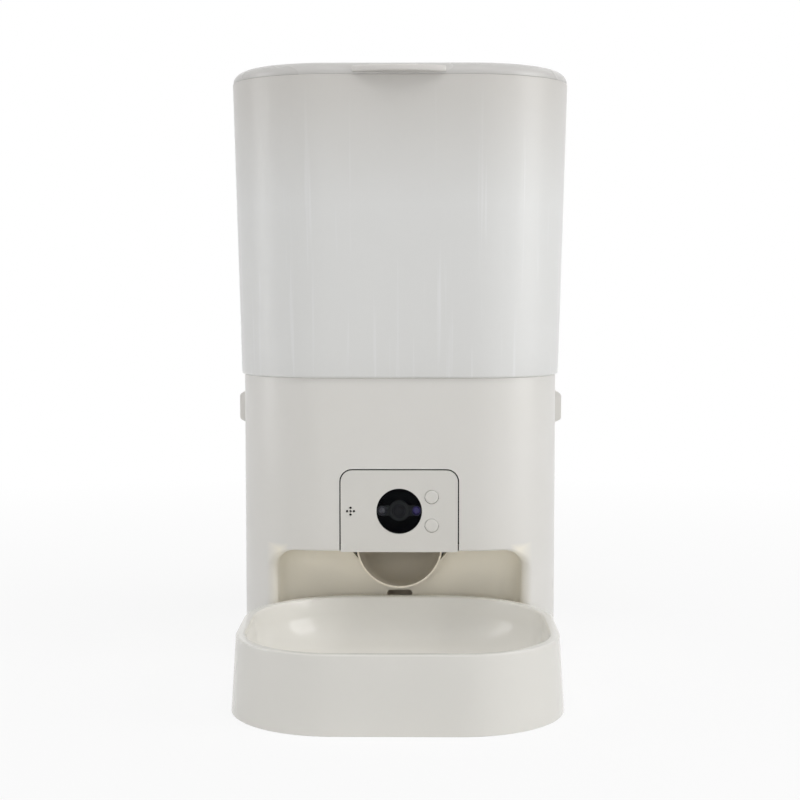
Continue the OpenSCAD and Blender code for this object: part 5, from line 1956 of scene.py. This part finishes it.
    @staticmethod
    def _vanes(graph: Graph) -> tuple[Socket, Socket]:
        """Flat vanes round an upright axis, standing on the given mesh's hub."""
        given = graph.inputs(
            Count=6, Inner=0.006, Outer=0.049, Thick=0.0024, Low=0.0, High=0.026, Material=None
        )
        blade_points = 6
        size, middle = {"Y": given["Thick"]}, {}
        for axis, far, near in (("X", "Outer", "Inner"), ("Z", "High", "Low")):
            size[axis] = graph.math("SUBTRACT", given[far], given[near])
            middle[axis] = graph.math("MULTIPLY", graph.math("ADD", given[far], given[near]), 0.5)
        shape = {"Size": graph.vector(**size), "Vertices X": blade_points}
        blade = graph.node("GeometryNodeMeshCube", shape)
        standing = graph.moved(blade.outputs["Mesh"], **middle)
        spots = graph.node("GeometryNodePoints", {"Count": given["Count"]}).outputs["Geometry"]
        index = graph.node("GeometryNodeInputIndex").outputs["Index"]
        angle = graph.math("MULTIPLY", graph.math("DIVIDE", index, given["Count"]), 2 * math.pi)
        vanes = graph.copies(spots, standing, Rotation=graph.vector(Z=angle))
        return graph.joined(given["Geometry"], vanes), given["Material"]

    @staticmethod
    def _sieve(graph: Graph) -> tuple[Socket, Socket]:
        """Rings of round holes cut through the given cover."""
        given = graph.inputs(Hole=0.0016, Pitch=0.0065, Depth=0.01, Low=0.0, Material=None)
        pin_steps, ring_counts = 20, (1, 6, 12, 18)
        pin = graph.node(
            "GeometryNodeMeshCylinder",
            {"Vertices": pin_steps, "Radius": given["Hole"], "Depth": given["Depth"]},
        )
        pins = []
        for number, count in enumerate(ring_counts):
            index = graph.node("GeometryNodeInputIndex").outputs["Index"]
            angle = graph.math("MULTIPLY", index, 2 * math.pi / count)
            radius = graph.math("MULTIPLY", given["Pitch"], float(number))
            x, y = (graph.math("MULTIPLY", graph.math(way, angle), radius) for way in ("COSINE", "SINE"))
            place = graph.vector(X=x, Y=y, Z=given["Low"])
            spots = graph.node("GeometryNodePoints", {"Count": count, "Position": place})
            pins.append(graph.copies(spots.outputs["Geometry"], pin.outputs["Mesh"]))
        solid = graph.node("GeometryNodeRealizeInstances", {"Geometry": graph.joined(*pins)})
        return graph.boolean("DIFFERENCE", given["Geometry"], solid.outputs["Geometry"]), given["Material"]

    def make(
        self,
        name: str,
        finish: Finish,
        sizes: dict[str, float],
        place: Matrix,
        base: bpy.types.Object | None = None,
        points: Sequence[Point3] = ((0, 0, 0),),
    ) -> bpy.types.Object:
        """Runs the tree and keeps its result as a plain mesh in the frame's own axes.

        Args:
            name: Name of the piece.
            finish: Its finish.
            sizes: Values of the tree's named inputs.
            place: Where the tree's origin stands in the frame, in metres.
            base: A mesh that the tree starts from, which is used up.
            points: Points that the tree starts from, in metres, in place of a mesh.

        Returns:
            The finished object, at the origin.
        """
        if base is None:
            start = bpy.data.meshes.new(name)
            start.from_pydata(list(points), [], [])
            piece = put(name, start)
        else:
            piece = base
            piece.name = name
        tree = self._tree()
        modifier = piece.modifiers.new(self.value, "NODES")
        modifier.node_group = tree
        values = {**sizes, "Material": finish.material()}
        for item in tree.interface.items_tree:
            if item.item_type == "SOCKET" and item.in_out == "INPUT" and item.name in values:
                modifier[item.identifier] = values[item.name]
        bake_modifiers(piece)
        piece.data.transform(place)
        return piece


@dataclass
class Hopper:
    """Frosted hopper that flares towards its rounded rim, with the flange that rests on the base.

    Attributes:
        width: Width at the seam.
        depth: Depth at the seam.
        corner: Radius of the corners at the seam.
        low: Height of the lower edge.
        high: Height of the rim.
        flare: How far each side leans out over its height.
        wall: Wall thickness.
        foot: Rounding of the lower edge.
        flange: How far the flange reaches inwards.
        flange_edge: Rounding of the flange's edge.
        rim_out: Rounding of the rim outside.
        rim_in: Rounding of the rim inside.
        root: Rounding where wall and flange meet.
    """

    width: float = 183.0
    depth: float = 187.0
    corner: float = 51.5
    low: float = 164.8
    high: float = 329.72
    flare: float = 4.25
    wall: float = 2.5
    foot: float = 1.5
    flange: float = 9.7
    flange_edge: float = 0.4
    rim_out: float = 0.35
    rim_in: float = 1.15
    root: float = 1.2

    # A run of the section that rises by more than this, in millimetres, is divided into so many parts
    TALL = 50
    PARTS = 14

    def build(self) -> bpy.types.Object:
        """The finished hopper."""
        rect = RoundRect(self.width, self.depth, self.corner)
        corners = [
            (-self.flange, self.low, self.flange_edge),
            (0.0, self.low, self.foot),
            (self.flare, self.high, self.rim_out),
            (self.flare - self.wall, self.high, self.rim_in),
            (-self.wall, self.low + self.wall, self.root),
            (-self.flange, self.low + self.wall, self.flange_edge),
        ]
        section = soften(corners, True, SOFT_STEPS)
        tall = []
        for i, (out, height) in enumerate(section):
            tall.append((out, height))
            next_out, next_height = section[(i + 1) % len(section)]
            if abs(next_height - height) > self.TALL:
                for k in range(1, self.PARTS):
                    share = k / self.PARTS
                    tall.append((out + (next_out - out) * share, height + (next_height - height) * share))
        draft = Draft()
        draft.sweep(rect, tall, per_corner=FINE_STEPS)
        return draft.finish("hopper_tank", ROUNDED)


@dataclass
class Lid:
    """Lid with a soft edge, a skirt inside the hopper, a desiccant pocket and a finger lip.

    Attributes:
        width: Width of the lid.
        depth: Depth of the lid.
        corner: Radius of its corners.
        low: Height of its lower edge.
        high: Height of its top.
        edge_in: How far the top edge's rounding reaches in.
        edge_down: How far it reaches down.
        skirt_in: How far the skirt stands in.
        skirt: Depth of the skirt.
        skirt_edge: Rounding of the skirt's lower edges.
        edge: Rounding of the lid's lower edge.
        notch: Rounding where the lower face meets the skirt.
        root: Rounding where the skirt meets the lid inside.
        level: Width of the level ring between edge and middle.
        wall: Wall thickness.
        lip: Width of the finger lip.
        lip_proud: How far the lip stands proud at its middle.
        lip_end: How far it stands proud at its ends.
        lip_up: Height of the lip over the lid's lower edge.
        lip_height: Height of the lip itself.
        lip_edge: Rounding of the lip.
        pocket: Radius of the desiccant pocket.
        pocket_depth: Depth of the pocket.
        pocket_wall: Wall thickness of the pocket.
        pocket_edge: Bevel of its edge.
        pocket_root: How far the pocket's wall runs into the lid.
        sieve: Thickness of the pocket's cover.
        sieve_edge: Bevel of the cover.
        spigot: Height of the cover's spigot.
        spigot_wall: Wall thickness of the spigot.
        spigot_gap: Gap between spigot and pocket.
        sieve_hole: Radius of the cover's holes.
        sieve_pitch: Spacing of the rings of holes.
        sieve_cut: Height of the pins that cut the holes.
    """

    width: float = 190.9
    depth: float = 194.9
    corner: float = 55.45
    low: float = 329.8
    high: float = 337.0
    edge_in: float = 10.0
    edge_down: float = 6.4
    skirt_in: float = 5.0
    skirt: float = 10.0
    skirt_edge: float = 0.8
    edge: float = 0.2
    notch: float = 0.3
    root: float = 0.5
    level: float = 4.0
    wall: float = 2.2
    lip: float = 51.0
    lip_proud: float = 6.4
    lip_end: float = 0.8
    lip_up: float = 1.3
    lip_height: float = 3.3
    lip_edge: float = 0.9
    pocket: float = 31.0
    pocket_depth: float = 11.0
    pocket_wall: float = 2.0
    pocket_edge: float = 0.4
    pocket_root: float = 0.5
    sieve: float = 2.0
    sieve_edge: float = 0.5
    spigot: float = 3.0
    spigot_wall: float = 1.5
    spigot_gap: float = 0.1
    sieve_hole: float = 1.6
    sieve_pitch: float = 6.5
    sieve_cut: float = 8.0

    # Steps of the top edge's rounding, of the lip's curve and of the round pocket
    EDGE_STEPS = 16
    LIP_STEPS = 48
    POCKET_STEPS = 80

    def cover(self) -> bpy.types.Object:
        """The lid itself, with its pocket."""
        rect = RoundRect(self.width, self.depth, self.corner)
        border = self.skirt_in + self.wall
        under = self.high - self.wall
        flat = self.edge_in + self.level
        round_in, round_down = self.edge_in, self.edge_down
        section = [(-flat, self.high)]
        for x, z in arc((0, 0), 1, 90, 0, self.EDGE_STEPS):
            section.append((round_in * (x - 1), self.high - round_down * (1 - z)))
        section += soften(
            [
                (0, self.high - round_down, 0),
                (0, self.low, self.edge),
                (-self.skirt_in, self.low, self.notch),
                (-self.skirt_in, self.low - self.skirt, self.skirt_edge),
                (-border, self.low - self.skirt, self.skirt_edge),
                (-border, under, self.root),
                (-flat, under, 0),
            ],
            False,
            SOFT_STEPS,
        )
        draft = Draft()
        draft.sweep(rect, section, close=False, per_corner=FINE_STEPS)
        draft.cap(rect, -flat, self.high)
        draft.cap(rect, -flat, under)
        plate = draft.finish("lid_plate", ROUNDED)
        low, high = under - self.pocket_depth, under + self.pocket_root
        outer, inner, edge = self.pocket, self.pocket - self.pocket_wall, self.pocket_edge
        wall = [(outer, high), (outer, low + edge), (outer - edge, low)]
        wall += [(inner + edge, low), (inner, low + edge)]
        tube = Draft()
        tube.lathe([*wall, (inner, high), (outer, high)], (0, BODY_Y, 0), Axis.Z, self.POCKET_STEPS)
        return join("lid_cover", plate, tube.finish("lid_pocket"))

    def finger_lip(self) -> bpy.types.Object:
        """The crescent at the lid's front that a finger lifts it by."""
        front = BODY_Y - self.depth / 2
        half, bulge = self.lip / 2, self.lip_proud - self.lip_end
        radius = (half**2 + bulge**2) / (2 * bulge)
        spread = math.degrees(math.asin(half / radius))
        middle = (0, front - self.lip_proud + radius)
        crescent = arc(middle, radius, -90 - spread, -90 + spread, self.LIP_STEPS)
        crescent += [(half, front + self.skirt_in), (-half, front + self.skirt_in)]
        slab = Draft()
        lip_low = self.low + self.lip_up
        slab.prism([crescent], lip_low, lip_low + self.lip_height, Axis.Z)
        tongue = slab.finish("lid_finger_lip")
        round_edges(tongue, self.lip_edge, EDGE_ANGLE, 4)
        return tongue

    def desiccant(self) -> bpy.types.Object:
        """The perforated cover of the desiccant pocket."""
        top = self.high - self.wall - self.pocket_depth
        low, high = top - self.sieve, top + self.spigot
        rim, edge = self.pocket, self.sieve_edge
        outer = rim - self.pocket_wall - self.spigot_gap
        inner = outer - self.spigot_wall
        draft = Draft()
        profile = [(0, low), (rim - edge, low), (rim, low + edge), (rim, top), (outer, top), (outer, high)]
        profile += [(inner, high), (inner, top), (0, top)]
        draft.lathe(profile, (0, BODY_Y, 0), Axis.Z, self.POCKET_STEPS)
        disc = draft.finish("desiccant_disc")
        disc.data.transform(Matrix.Translation((0, -BODY_Y * MM, -top * MM)))
        sizes = {
            "Hole": self.sieve_hole * MM,
            "Pitch": self.sieve_pitch * MM,
            "Depth": self.sieve_cut * MM,
            "Low": -self.sieve / 2 * MM,
        }
        place = Matrix.Translation((0, BODY_Y * MM, top * MM))
        return NodeShape.SIEVE.make("desiccant_sieve", Finishes.LID, sizes, place, base=disc)

    def build(self) -> None:
        """Makes and settles the lid and the cover of its pocket."""
        settle(self.cover(), Finishes.LID, "lid", "lid")
        settle(self.finger_lip(), Finishes.LIP_PAINTED_LIGHTER, "lid", "lid")
        settle(self.desiccant(), Finishes.LID, "desiccant_cover", "desiccant_cover")


@dataclass
class Bowl:
    """Bowl with a glossy basin, a flat rim, a flaring skirt and the tongue that holds it in the alcove.

    Attributes:
        width: Width at the rim.
        reach: How far it reaches in front of the base.
        inset: How far the rim reaches behind the front face.
        corner: Radius of its front corners at the rim.
        rear: Radius of its rear corners at the rim.
        low: Height of its lower edge.
        high: Height of its rim.
        flare: How far the skirt spreads.
        wall: Wall thickness.
        rim: Width of the flat rim.
        rim_in: Rounding of the rim inside.
        rim_out: Rounding of the rim outside.
        rim_under: Height of the rim's underside below it.
        root: Rounding under the rim.
        foot: Rounding of the lower edge.
        lean: How far the basin's wall leans in.
        hollow: Radius at the foot of the basin's wall.
        floor: Height of the basin's floor.
        tongue: Half width of the tongue.
        tongue_low: Lower face of the tongue.
        tongue_high: Upper face of the tongue.
        tongue_end: How far the tongue reaches behind the front face.
        tongue_root: How far the tongue runs into the bowl.
        tongue_edge: Rounding of the tongue.
    """

    width: float = 164.8
    reach: float = 130.0
    inset: float = 24.0
    corner: float = 52.0
    rear: float = 62.0
    low: float = 0.3
    high: float = 39.5
    flare: float = 2.5
    wall: float = 2.0
    rim: float = 5.2
    rim_in: float = 1.4
    rim_out: float = 1.0
    rim_under: float = 3.0
    root: float = 1.0
    foot: float = 0.5
    lean: float = 2.55
    hollow: float = 22.0
    floor: float = 10.0
    tongue: float = 6.5
    tongue_low: float = 20.3
    tongue_high: float = 30.3
    tongue_end: float = 34.0
    tongue_root: float = 1.0
    tongue_edge: float = 0.5

    def build(self) -> bpy.types.Object:
        """The finished bowl."""
        depth = self.reach - self.flare + self.inset
        rect = RoundRect(self.width, depth, self.corner, FACE_Y + self.inset - depth / 2, self.rear)
        flat = self.rim + self.lean + self.hollow
        under = self.floor - self.wall
        below = self.high - self.rim_under
        basin = soften(
            [
                (-flat, self.floor, 0),
                (-self.rim - self.lean, self.floor, self.hollow),
                (-self.rim, self.high, self.rim_in),
                (0, self.high, self.rim_out),
                (self.flare, self.low, self.foot),
                (self.flare - self.wall, self.low, self.foot),
                (-self.wall, below, self.root),
                (-self.rim + self.wall, below, self.root),
                (-self.rim - self.lean + self.wall, under, self.hollow),
                (-flat, under, 0),
            ],
            False,
            OUTLINE_STEPS,
        )
        draft = Draft()
        draft.sweep(rect, basin, close=False, per_corner=FINE_STEPS)
        draft.cap(rect, -flat, self.floor)
        draft.cap(rect, -flat, under)
        dish = draft.finish("bowl_dish", ROUNDED)
        rear = Draft()
        rear.box(
            (-self.tongue, FACE_Y + self.inset - self.tongue_root, self.tongue_low),
            (self.tongue, FACE_Y + self.tongue_end, self.tongue_high),
        )
        tongue = rear.finish("bowl_tongue")
        round_edges(tongue, self.tongue_edge, EDGE_ANGLE, 3)
        return join("bowl_dish", dish, tongue)


@dataclass
class FeedRotor:
    """Soft feed rotor: a turned hub with a socket, and vanes set round it.

    Attributes:
        low: Lower face of the vanes.
        high: Upper edge of the vanes.
        spigot_low: Lower end of the spigot.
        spigot: Radius of the spigot.
        hub: Radius of the hub.
        reach: Radius of the vanes.
        count: Number of vanes.
        thick: Thickness of a vane.
        socket: Radius round the flats of the socket.
        socket_top: Upper end of the socket.
        socket_wall: Width of the ring round the socket's mouth.
        spigot_edge: Rounding of the spigot's edge.
        hub_foot: Rounding of the hub's lower edge, and how far a vane runs into the hub.
        hub_edge: Rounding of the hub's upper edge.
        tip: Rounding of the cone's tip.
    """

    low: float = 106.3
    high: float = 132.8
    spigot_low: float = 103.8
    spigot: float = 7.9
    hub: float = 11.0
    reach: float = 49.4
    count: int = 6
    thick: float = 2.4
    socket: float = 5.2
    socket_top: float = 121.3
    socket_wall: float = 0.8
    spigot_edge: float = 0.4
    hub_foot: float = 0.5
    hub_edge: float = 1.0
    tip: float = 1.5

    # Steps round the hub
    STEPS = 48

    def build(self) -> bpy.types.Object:
        """The finished rotor."""
        draft = Draft()
        cone = self.high + self.hub
        outside = soften(
            [
                (self.socket + self.socket_wall, self.spigot_low, 0),
                (self.spigot, self.spigot_low, self.spigot_edge),
                (self.spigot, self.low, 0),
                (self.hub, self.low, self.hub_foot),
                (self.hub, self.high, self.hub_edge),
                (self.hub / 3, cone, self.tip),
                (0, cone, 0),
            ],
            False,
        )
        steps = self.STEPS
        draft.lathe(outside, (0, 0, 0), Axis.Z, steps)
        flat = self.socket / math.cos(math.pi / 6)
        hexagon = []
        for k in range(steps):
            angle = 2 * math.pi * k / steps
            off = (angle + math.pi / 6) % (math.pi / 3) - math.pi / 6
            reach = min(self.socket / math.cos(off), flat)
            turn = angle + math.pi / 6
            hexagon.append((reach * math.cos(turn), reach * math.sin(turn)))
        rows = [[(p[0], p[1], z) for p in hexagon] for z in (self.socket_top, self.spigot_low)]
        edge = ring((0, 0), self.socket + self.socket_wall, steps)
        shift = steps // 12
        edge = edge[shift:] + edge[:shift]
        rows.append([(p[0], p[1], self.spigot_low) for p in edge])
        draft.grid(rows, wrap=True)
        draft.flat([hexagon], lambda p: (p[0], p[1], self.socket_top))
        hub = draft.finish("rotor_hub", CRISP)
        sizes = {
            "Count": self.count,
            "Inner": (self.hub - self.hub_foot) * MM,
            "Outer": self.reach * MM,
            "Thick": self.thick * MM,
            "Low": self.low * MM,
            "High": self.high * MM,
        }
        place = Matrix.Translation((0, BODY_Y * MM, 0))
        return NodeShape.VANES.make("feed_rotor_vanes", Finishes.SILICONE, sizes, place, base=hub)


@dataclass
class Fasteners:
    """Rows of screws with cross recesses.

    Attributes:
        case_points: Places of the case screws about the feeder's axis.
        case_low: Height of the case screws' heads.
        head: Radius of a head.
        head_height: Height of a head.
        shank: Radius of a shank.
        shank_length: Length of a shank.
    """

    case_points: tuple[Point2, ...] = (
        (-58, -38), (58, -38), (-58, 60), (58, 60), (-83.5, -32), (83.5, -32), (-83.5, 32), (83.5, 32),
    )
    case_low: float = 1.4
    head: float = 2.5
    head_height: float = 1.6
    shank: float = 1.3
    shank_length: float = 11.2

    def build(self) -> None:
        """Makes and settles the screws under the bottom plate."""
        middle = (self.case_low + self.head_height / 2) * MM
        points = [(x * MM, (BODY_Y + y) * MM, middle) for x, y in self.case_points]
        sizes = {
            "Head": self.head * MM,
            "Head Height": self.head_height * MM,
            "Shank": self.shank * MM,
            "Shank Length": self.shank_length * MM,
        }
        place = Matrix.Identity(4)
        screws = NodeShape.SCREWS.make("case_screw_set", Finishes.STEEL, sizes, place, points=points)
        settle(screws, Finishes.STEEL, "base", "case_screws")


class InnerWorks:
    """CAD nodes whose shape is right as it is, each with its finish."""

    FINISHES: dict[str, Finish] = {
        "bottom_plate": Finishes.SHELL,
        "rubber_feet": Finishes.RUBBER,
        "camera_board": Finishes.BOARD,
        "board_screws": Finishes.STEEL,
        "button_switches": Finishes.BLACK,
        "microphone": Finishes.BLACK,
        "drive_deck": Finishes.INNER,
        "motor_plate": Finishes.STEEL,
        "gear_motor": Finishes.STEEL,
        "motor_screws": Finishes.STEEL,
        "shaft_bushes": Finishes.BRASS,
        "drive_shaft": Finishes.STEEL,
        "drive_gear": Finishes.GEAR,
        "drive_pinion": Finishes.BRASS,
        "control_board": Finishes.BOARD,
        "speaker": Finishes.BLACK,
        "power_inlet": Finishes.BLACK,
        "release_guides": Finishes.INNER,
        "funnel": Finishes.INNER,
        "outlet_guard": Finishes.INNER,
        "lid_seal": Finishes.SILICONE,
    }

    def build(self, nodes: dict[str, bpy.types.Object]) -> None:
        """Dresses the CAD nodes.

        Args:
            nodes: The frame's nodes by name.
        """
        for name, finish in self.FINISHES.items():
            dress(nodes[name], finish)
            LOG.info("%s keeps its CAD shape", name)


@dataclass(frozen=True)
class Lamp:
    """A soft rectangular lamp that looks at the feeder.

    Attributes:
        name: Name of the lamp.
        place: Where it hangs, in metres.
        size: Its width and height in metres.
        power: Its power in watts.
        mirrored: Whether it shows in reflections.
        aim: The point that it looks at, in metres.
    """

    name: str
    place: Point3
    size: Point2
    power: float
    mirrored: bool = True
    aim: Point3 = (0.0, 0.0, 0.18)

    def hang(self) -> None:
        """Puts the lamp into the scene."""
        data = bpy.data.lights.new(self.name, "AREA")
        data.shape = "RECTANGLE"
        data.size, data.size_y = self.size
        data.energy = self.power
        lamp = put(self.name, data)
        lamp.location = self.place
        way = Vector(self.aim) - Vector(self.place)
        lamp.rotation_euler = way.to_track_quat("-Z", "Y").to_euler()
        lamp.visible_glossy = self.mirrored


@dataclass
class Studio:
    """Pale floor, soft light and the camera.

    Attributes:
        camera: Place of the camera in metres.
        lens: Focal length in millimetres.
        sensor: Width of the sensor in millimetres.
        pitch: How far the camera looks down, in degrees.
        yaw: How far the camera looks to the left, in degrees.
        ambient: Strength of the even light from all round.
        floor: Half width of the floor in metres.
        floor_grey: Grey of the floor where it takes a shadow.
        near: Distance in metres up to which the floor shows most of its shadow.
        far: Distance in metres from which the floor is plain white.
        cover: Share of plain white over the near floor.
    """

    camera: Point3 = (0.009, -0.921, 0.2165)
    lens: float = 72.9
    sensor: float = 36.0
    pitch: float = 4.0957
    yaw: float = 0.55
    ambient: float = 0.1
    floor: float = 6.0
    floor_grey: float = 0.86
    near: float = 0.2
    far: float = 0.9
    cover: float = 0.87

    WHITE = (1, 1, 1, 1)
    LAMPS = (
        Lamp("side", (2.1, -0.6, 0.8), (1.2, 1.6), 20.6),
        Lamp("front", (-0.3, -2.4, 0.45), (1.6, 0.9), 10.6, False),
        Lamp("edge", (-1.5, -0.1, 0.6), (0.6, 1.2), 5.4),
        Lamp("top", (0.1, -0.6, 1.8), (1.2, 1.0), 14.0, False),
        Lamp("spark right", (1.3, -0.7, 0.95), (0.03, 0.03), 0.4),
        Lamp("spark left", (-1.3, -0.75, 0.95), (0.03, 0.03), 0.45),
        Lamp("rear", (0.3, 1.9, 0.8), (1.4, 1.2), 9.0, False),
    )

    # Nearest and farthest distance in metres that the camera sees
    CLIP = (0.01, 50)

    def _camera(self) -> None:
        """Puts the camera at the photograph's place."""
        data = bpy.data.cameras.new("camera")
        data.lens, data.sensor_width = self.lens, self.sensor
        data.clip_start, data.clip_end = self.CLIP
        camera = put("camera", data)
        camera.location = self.camera
        camera.rotation_euler = (math.radians(90 - self.pitch), 0, math.radians(self.yaw))
        bpy.context.scene.camera = camera

    @staticmethod
    def _seen(graph: Graph) -> Socket:
        """One where the camera, a reflection or a clear piece looks, else zero."""
        path = graph.node("ShaderNodeLightPath").outputs
        direct = graph.math("MAXIMUM", path["Is Camera Ray"], path["Is Transmission Ray"])
        return graph.math("MAXIMUM", direct, path["Is Glossy Ray"])

    def _world(self) -> None:
        """Even light, with white behind the feeder."""
        world = bpy.data.worlds.new("studio")
        bpy.context.scene.world = world
        graph = fresh_graph(world)
        soft, white = (
            graph.node("ShaderNodeBackground", {"Color": self.WHITE, "Strength": strength}).outputs[0]
            for strength in (self.ambient, 1.0)
        )
        mix = graph.node("ShaderNodeMixShader", {0: self._seen(graph), 1: soft, 2: white})
        graph.node("ShaderNodeOutputWorld", {"Surface": mix.outputs["Shader"]})

    def _floor(self) -> None:
        """Pale floor that keeps a soft shadow."""
        mesh = bpy.data.meshes.new("floor")
        corners = ((-1, -1), (1, -1), (1, 1), (-1, 1))
        mesh.from_pydata([(self.floor * x, self.floor * y, 0) for x, y in corners], [], [(0, 1, 2, 3)])
        pale = bpy.data.materials.new("pale floor")
        graph = fresh_graph(pale)
        grey = (self.floor_grey, self.floor_grey, self.floor_grey, 1)
        plain = graph.node("ShaderNodeBsdfDiffuse", {"Color": grey}).outputs["BSDF"]
        white = graph.node("ShaderNodeEmission", {"Color": self.WHITE, "Strength": 1.0}).outputs["Emission"]
        away = graph.node("ShaderNodeVectorMath", {0: graph.place()}, operation="LENGTH").outputs["Value"]
        cover = graph.mapped(away, self.near, self.far, self.cover, 1.0)
        share = graph.math("MULTIPLY", self._seen(graph), cover)
        mix = graph.node("ShaderNodeMixShader", {0: share, 1: plain, 2: white})
        graph.node("ShaderNodeOutputMaterial", {"Surface": mix.outputs["Shader"]})
        mesh.materials.append(pale)
        floor = put("floor", mesh)

    def build(self) -> None:
        """Sets up camera, light and floor."""
        self._camera()
        self._world()
        self._floor()
        for lamp in self.LAMPS:
            lamp.hang()
        bpy.context.scene.view_settings.view_transform = "Standard"


def main() -> None:
    """Builds the feeder round its frame and sets up the studio."""
    logging.basicConfig(level=logging.INFO, format="%(name)s: %(message)s")
    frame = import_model()
    Studio().build()
    shell = BaseShell()
    settle(shell.build(), Finishes.SHELL, "base", "body_shell")
    settle(shell.liner(), Finishes.INNER, "base", "body_shell")
    CameraUnit().build()
    settle(FoodChute().build(), Finishes.INNER, "base", "food_chute")
    ReleaseButtons().build()
    settle(Hopper().build(), Finishes.HOPPER, "hopper", "hopper")
    Lid().build()
    settle(Bowl().build(), Finishes.BOWL, "bowl", "bowl")
    settle(FeedRotor().build(), Finishes.SILICONE, "rotor", "feed_rotor")
    Fasteners().build()
    InnerWorks().build(frame["nodes"])


if __name__ == "__main__":
    main()
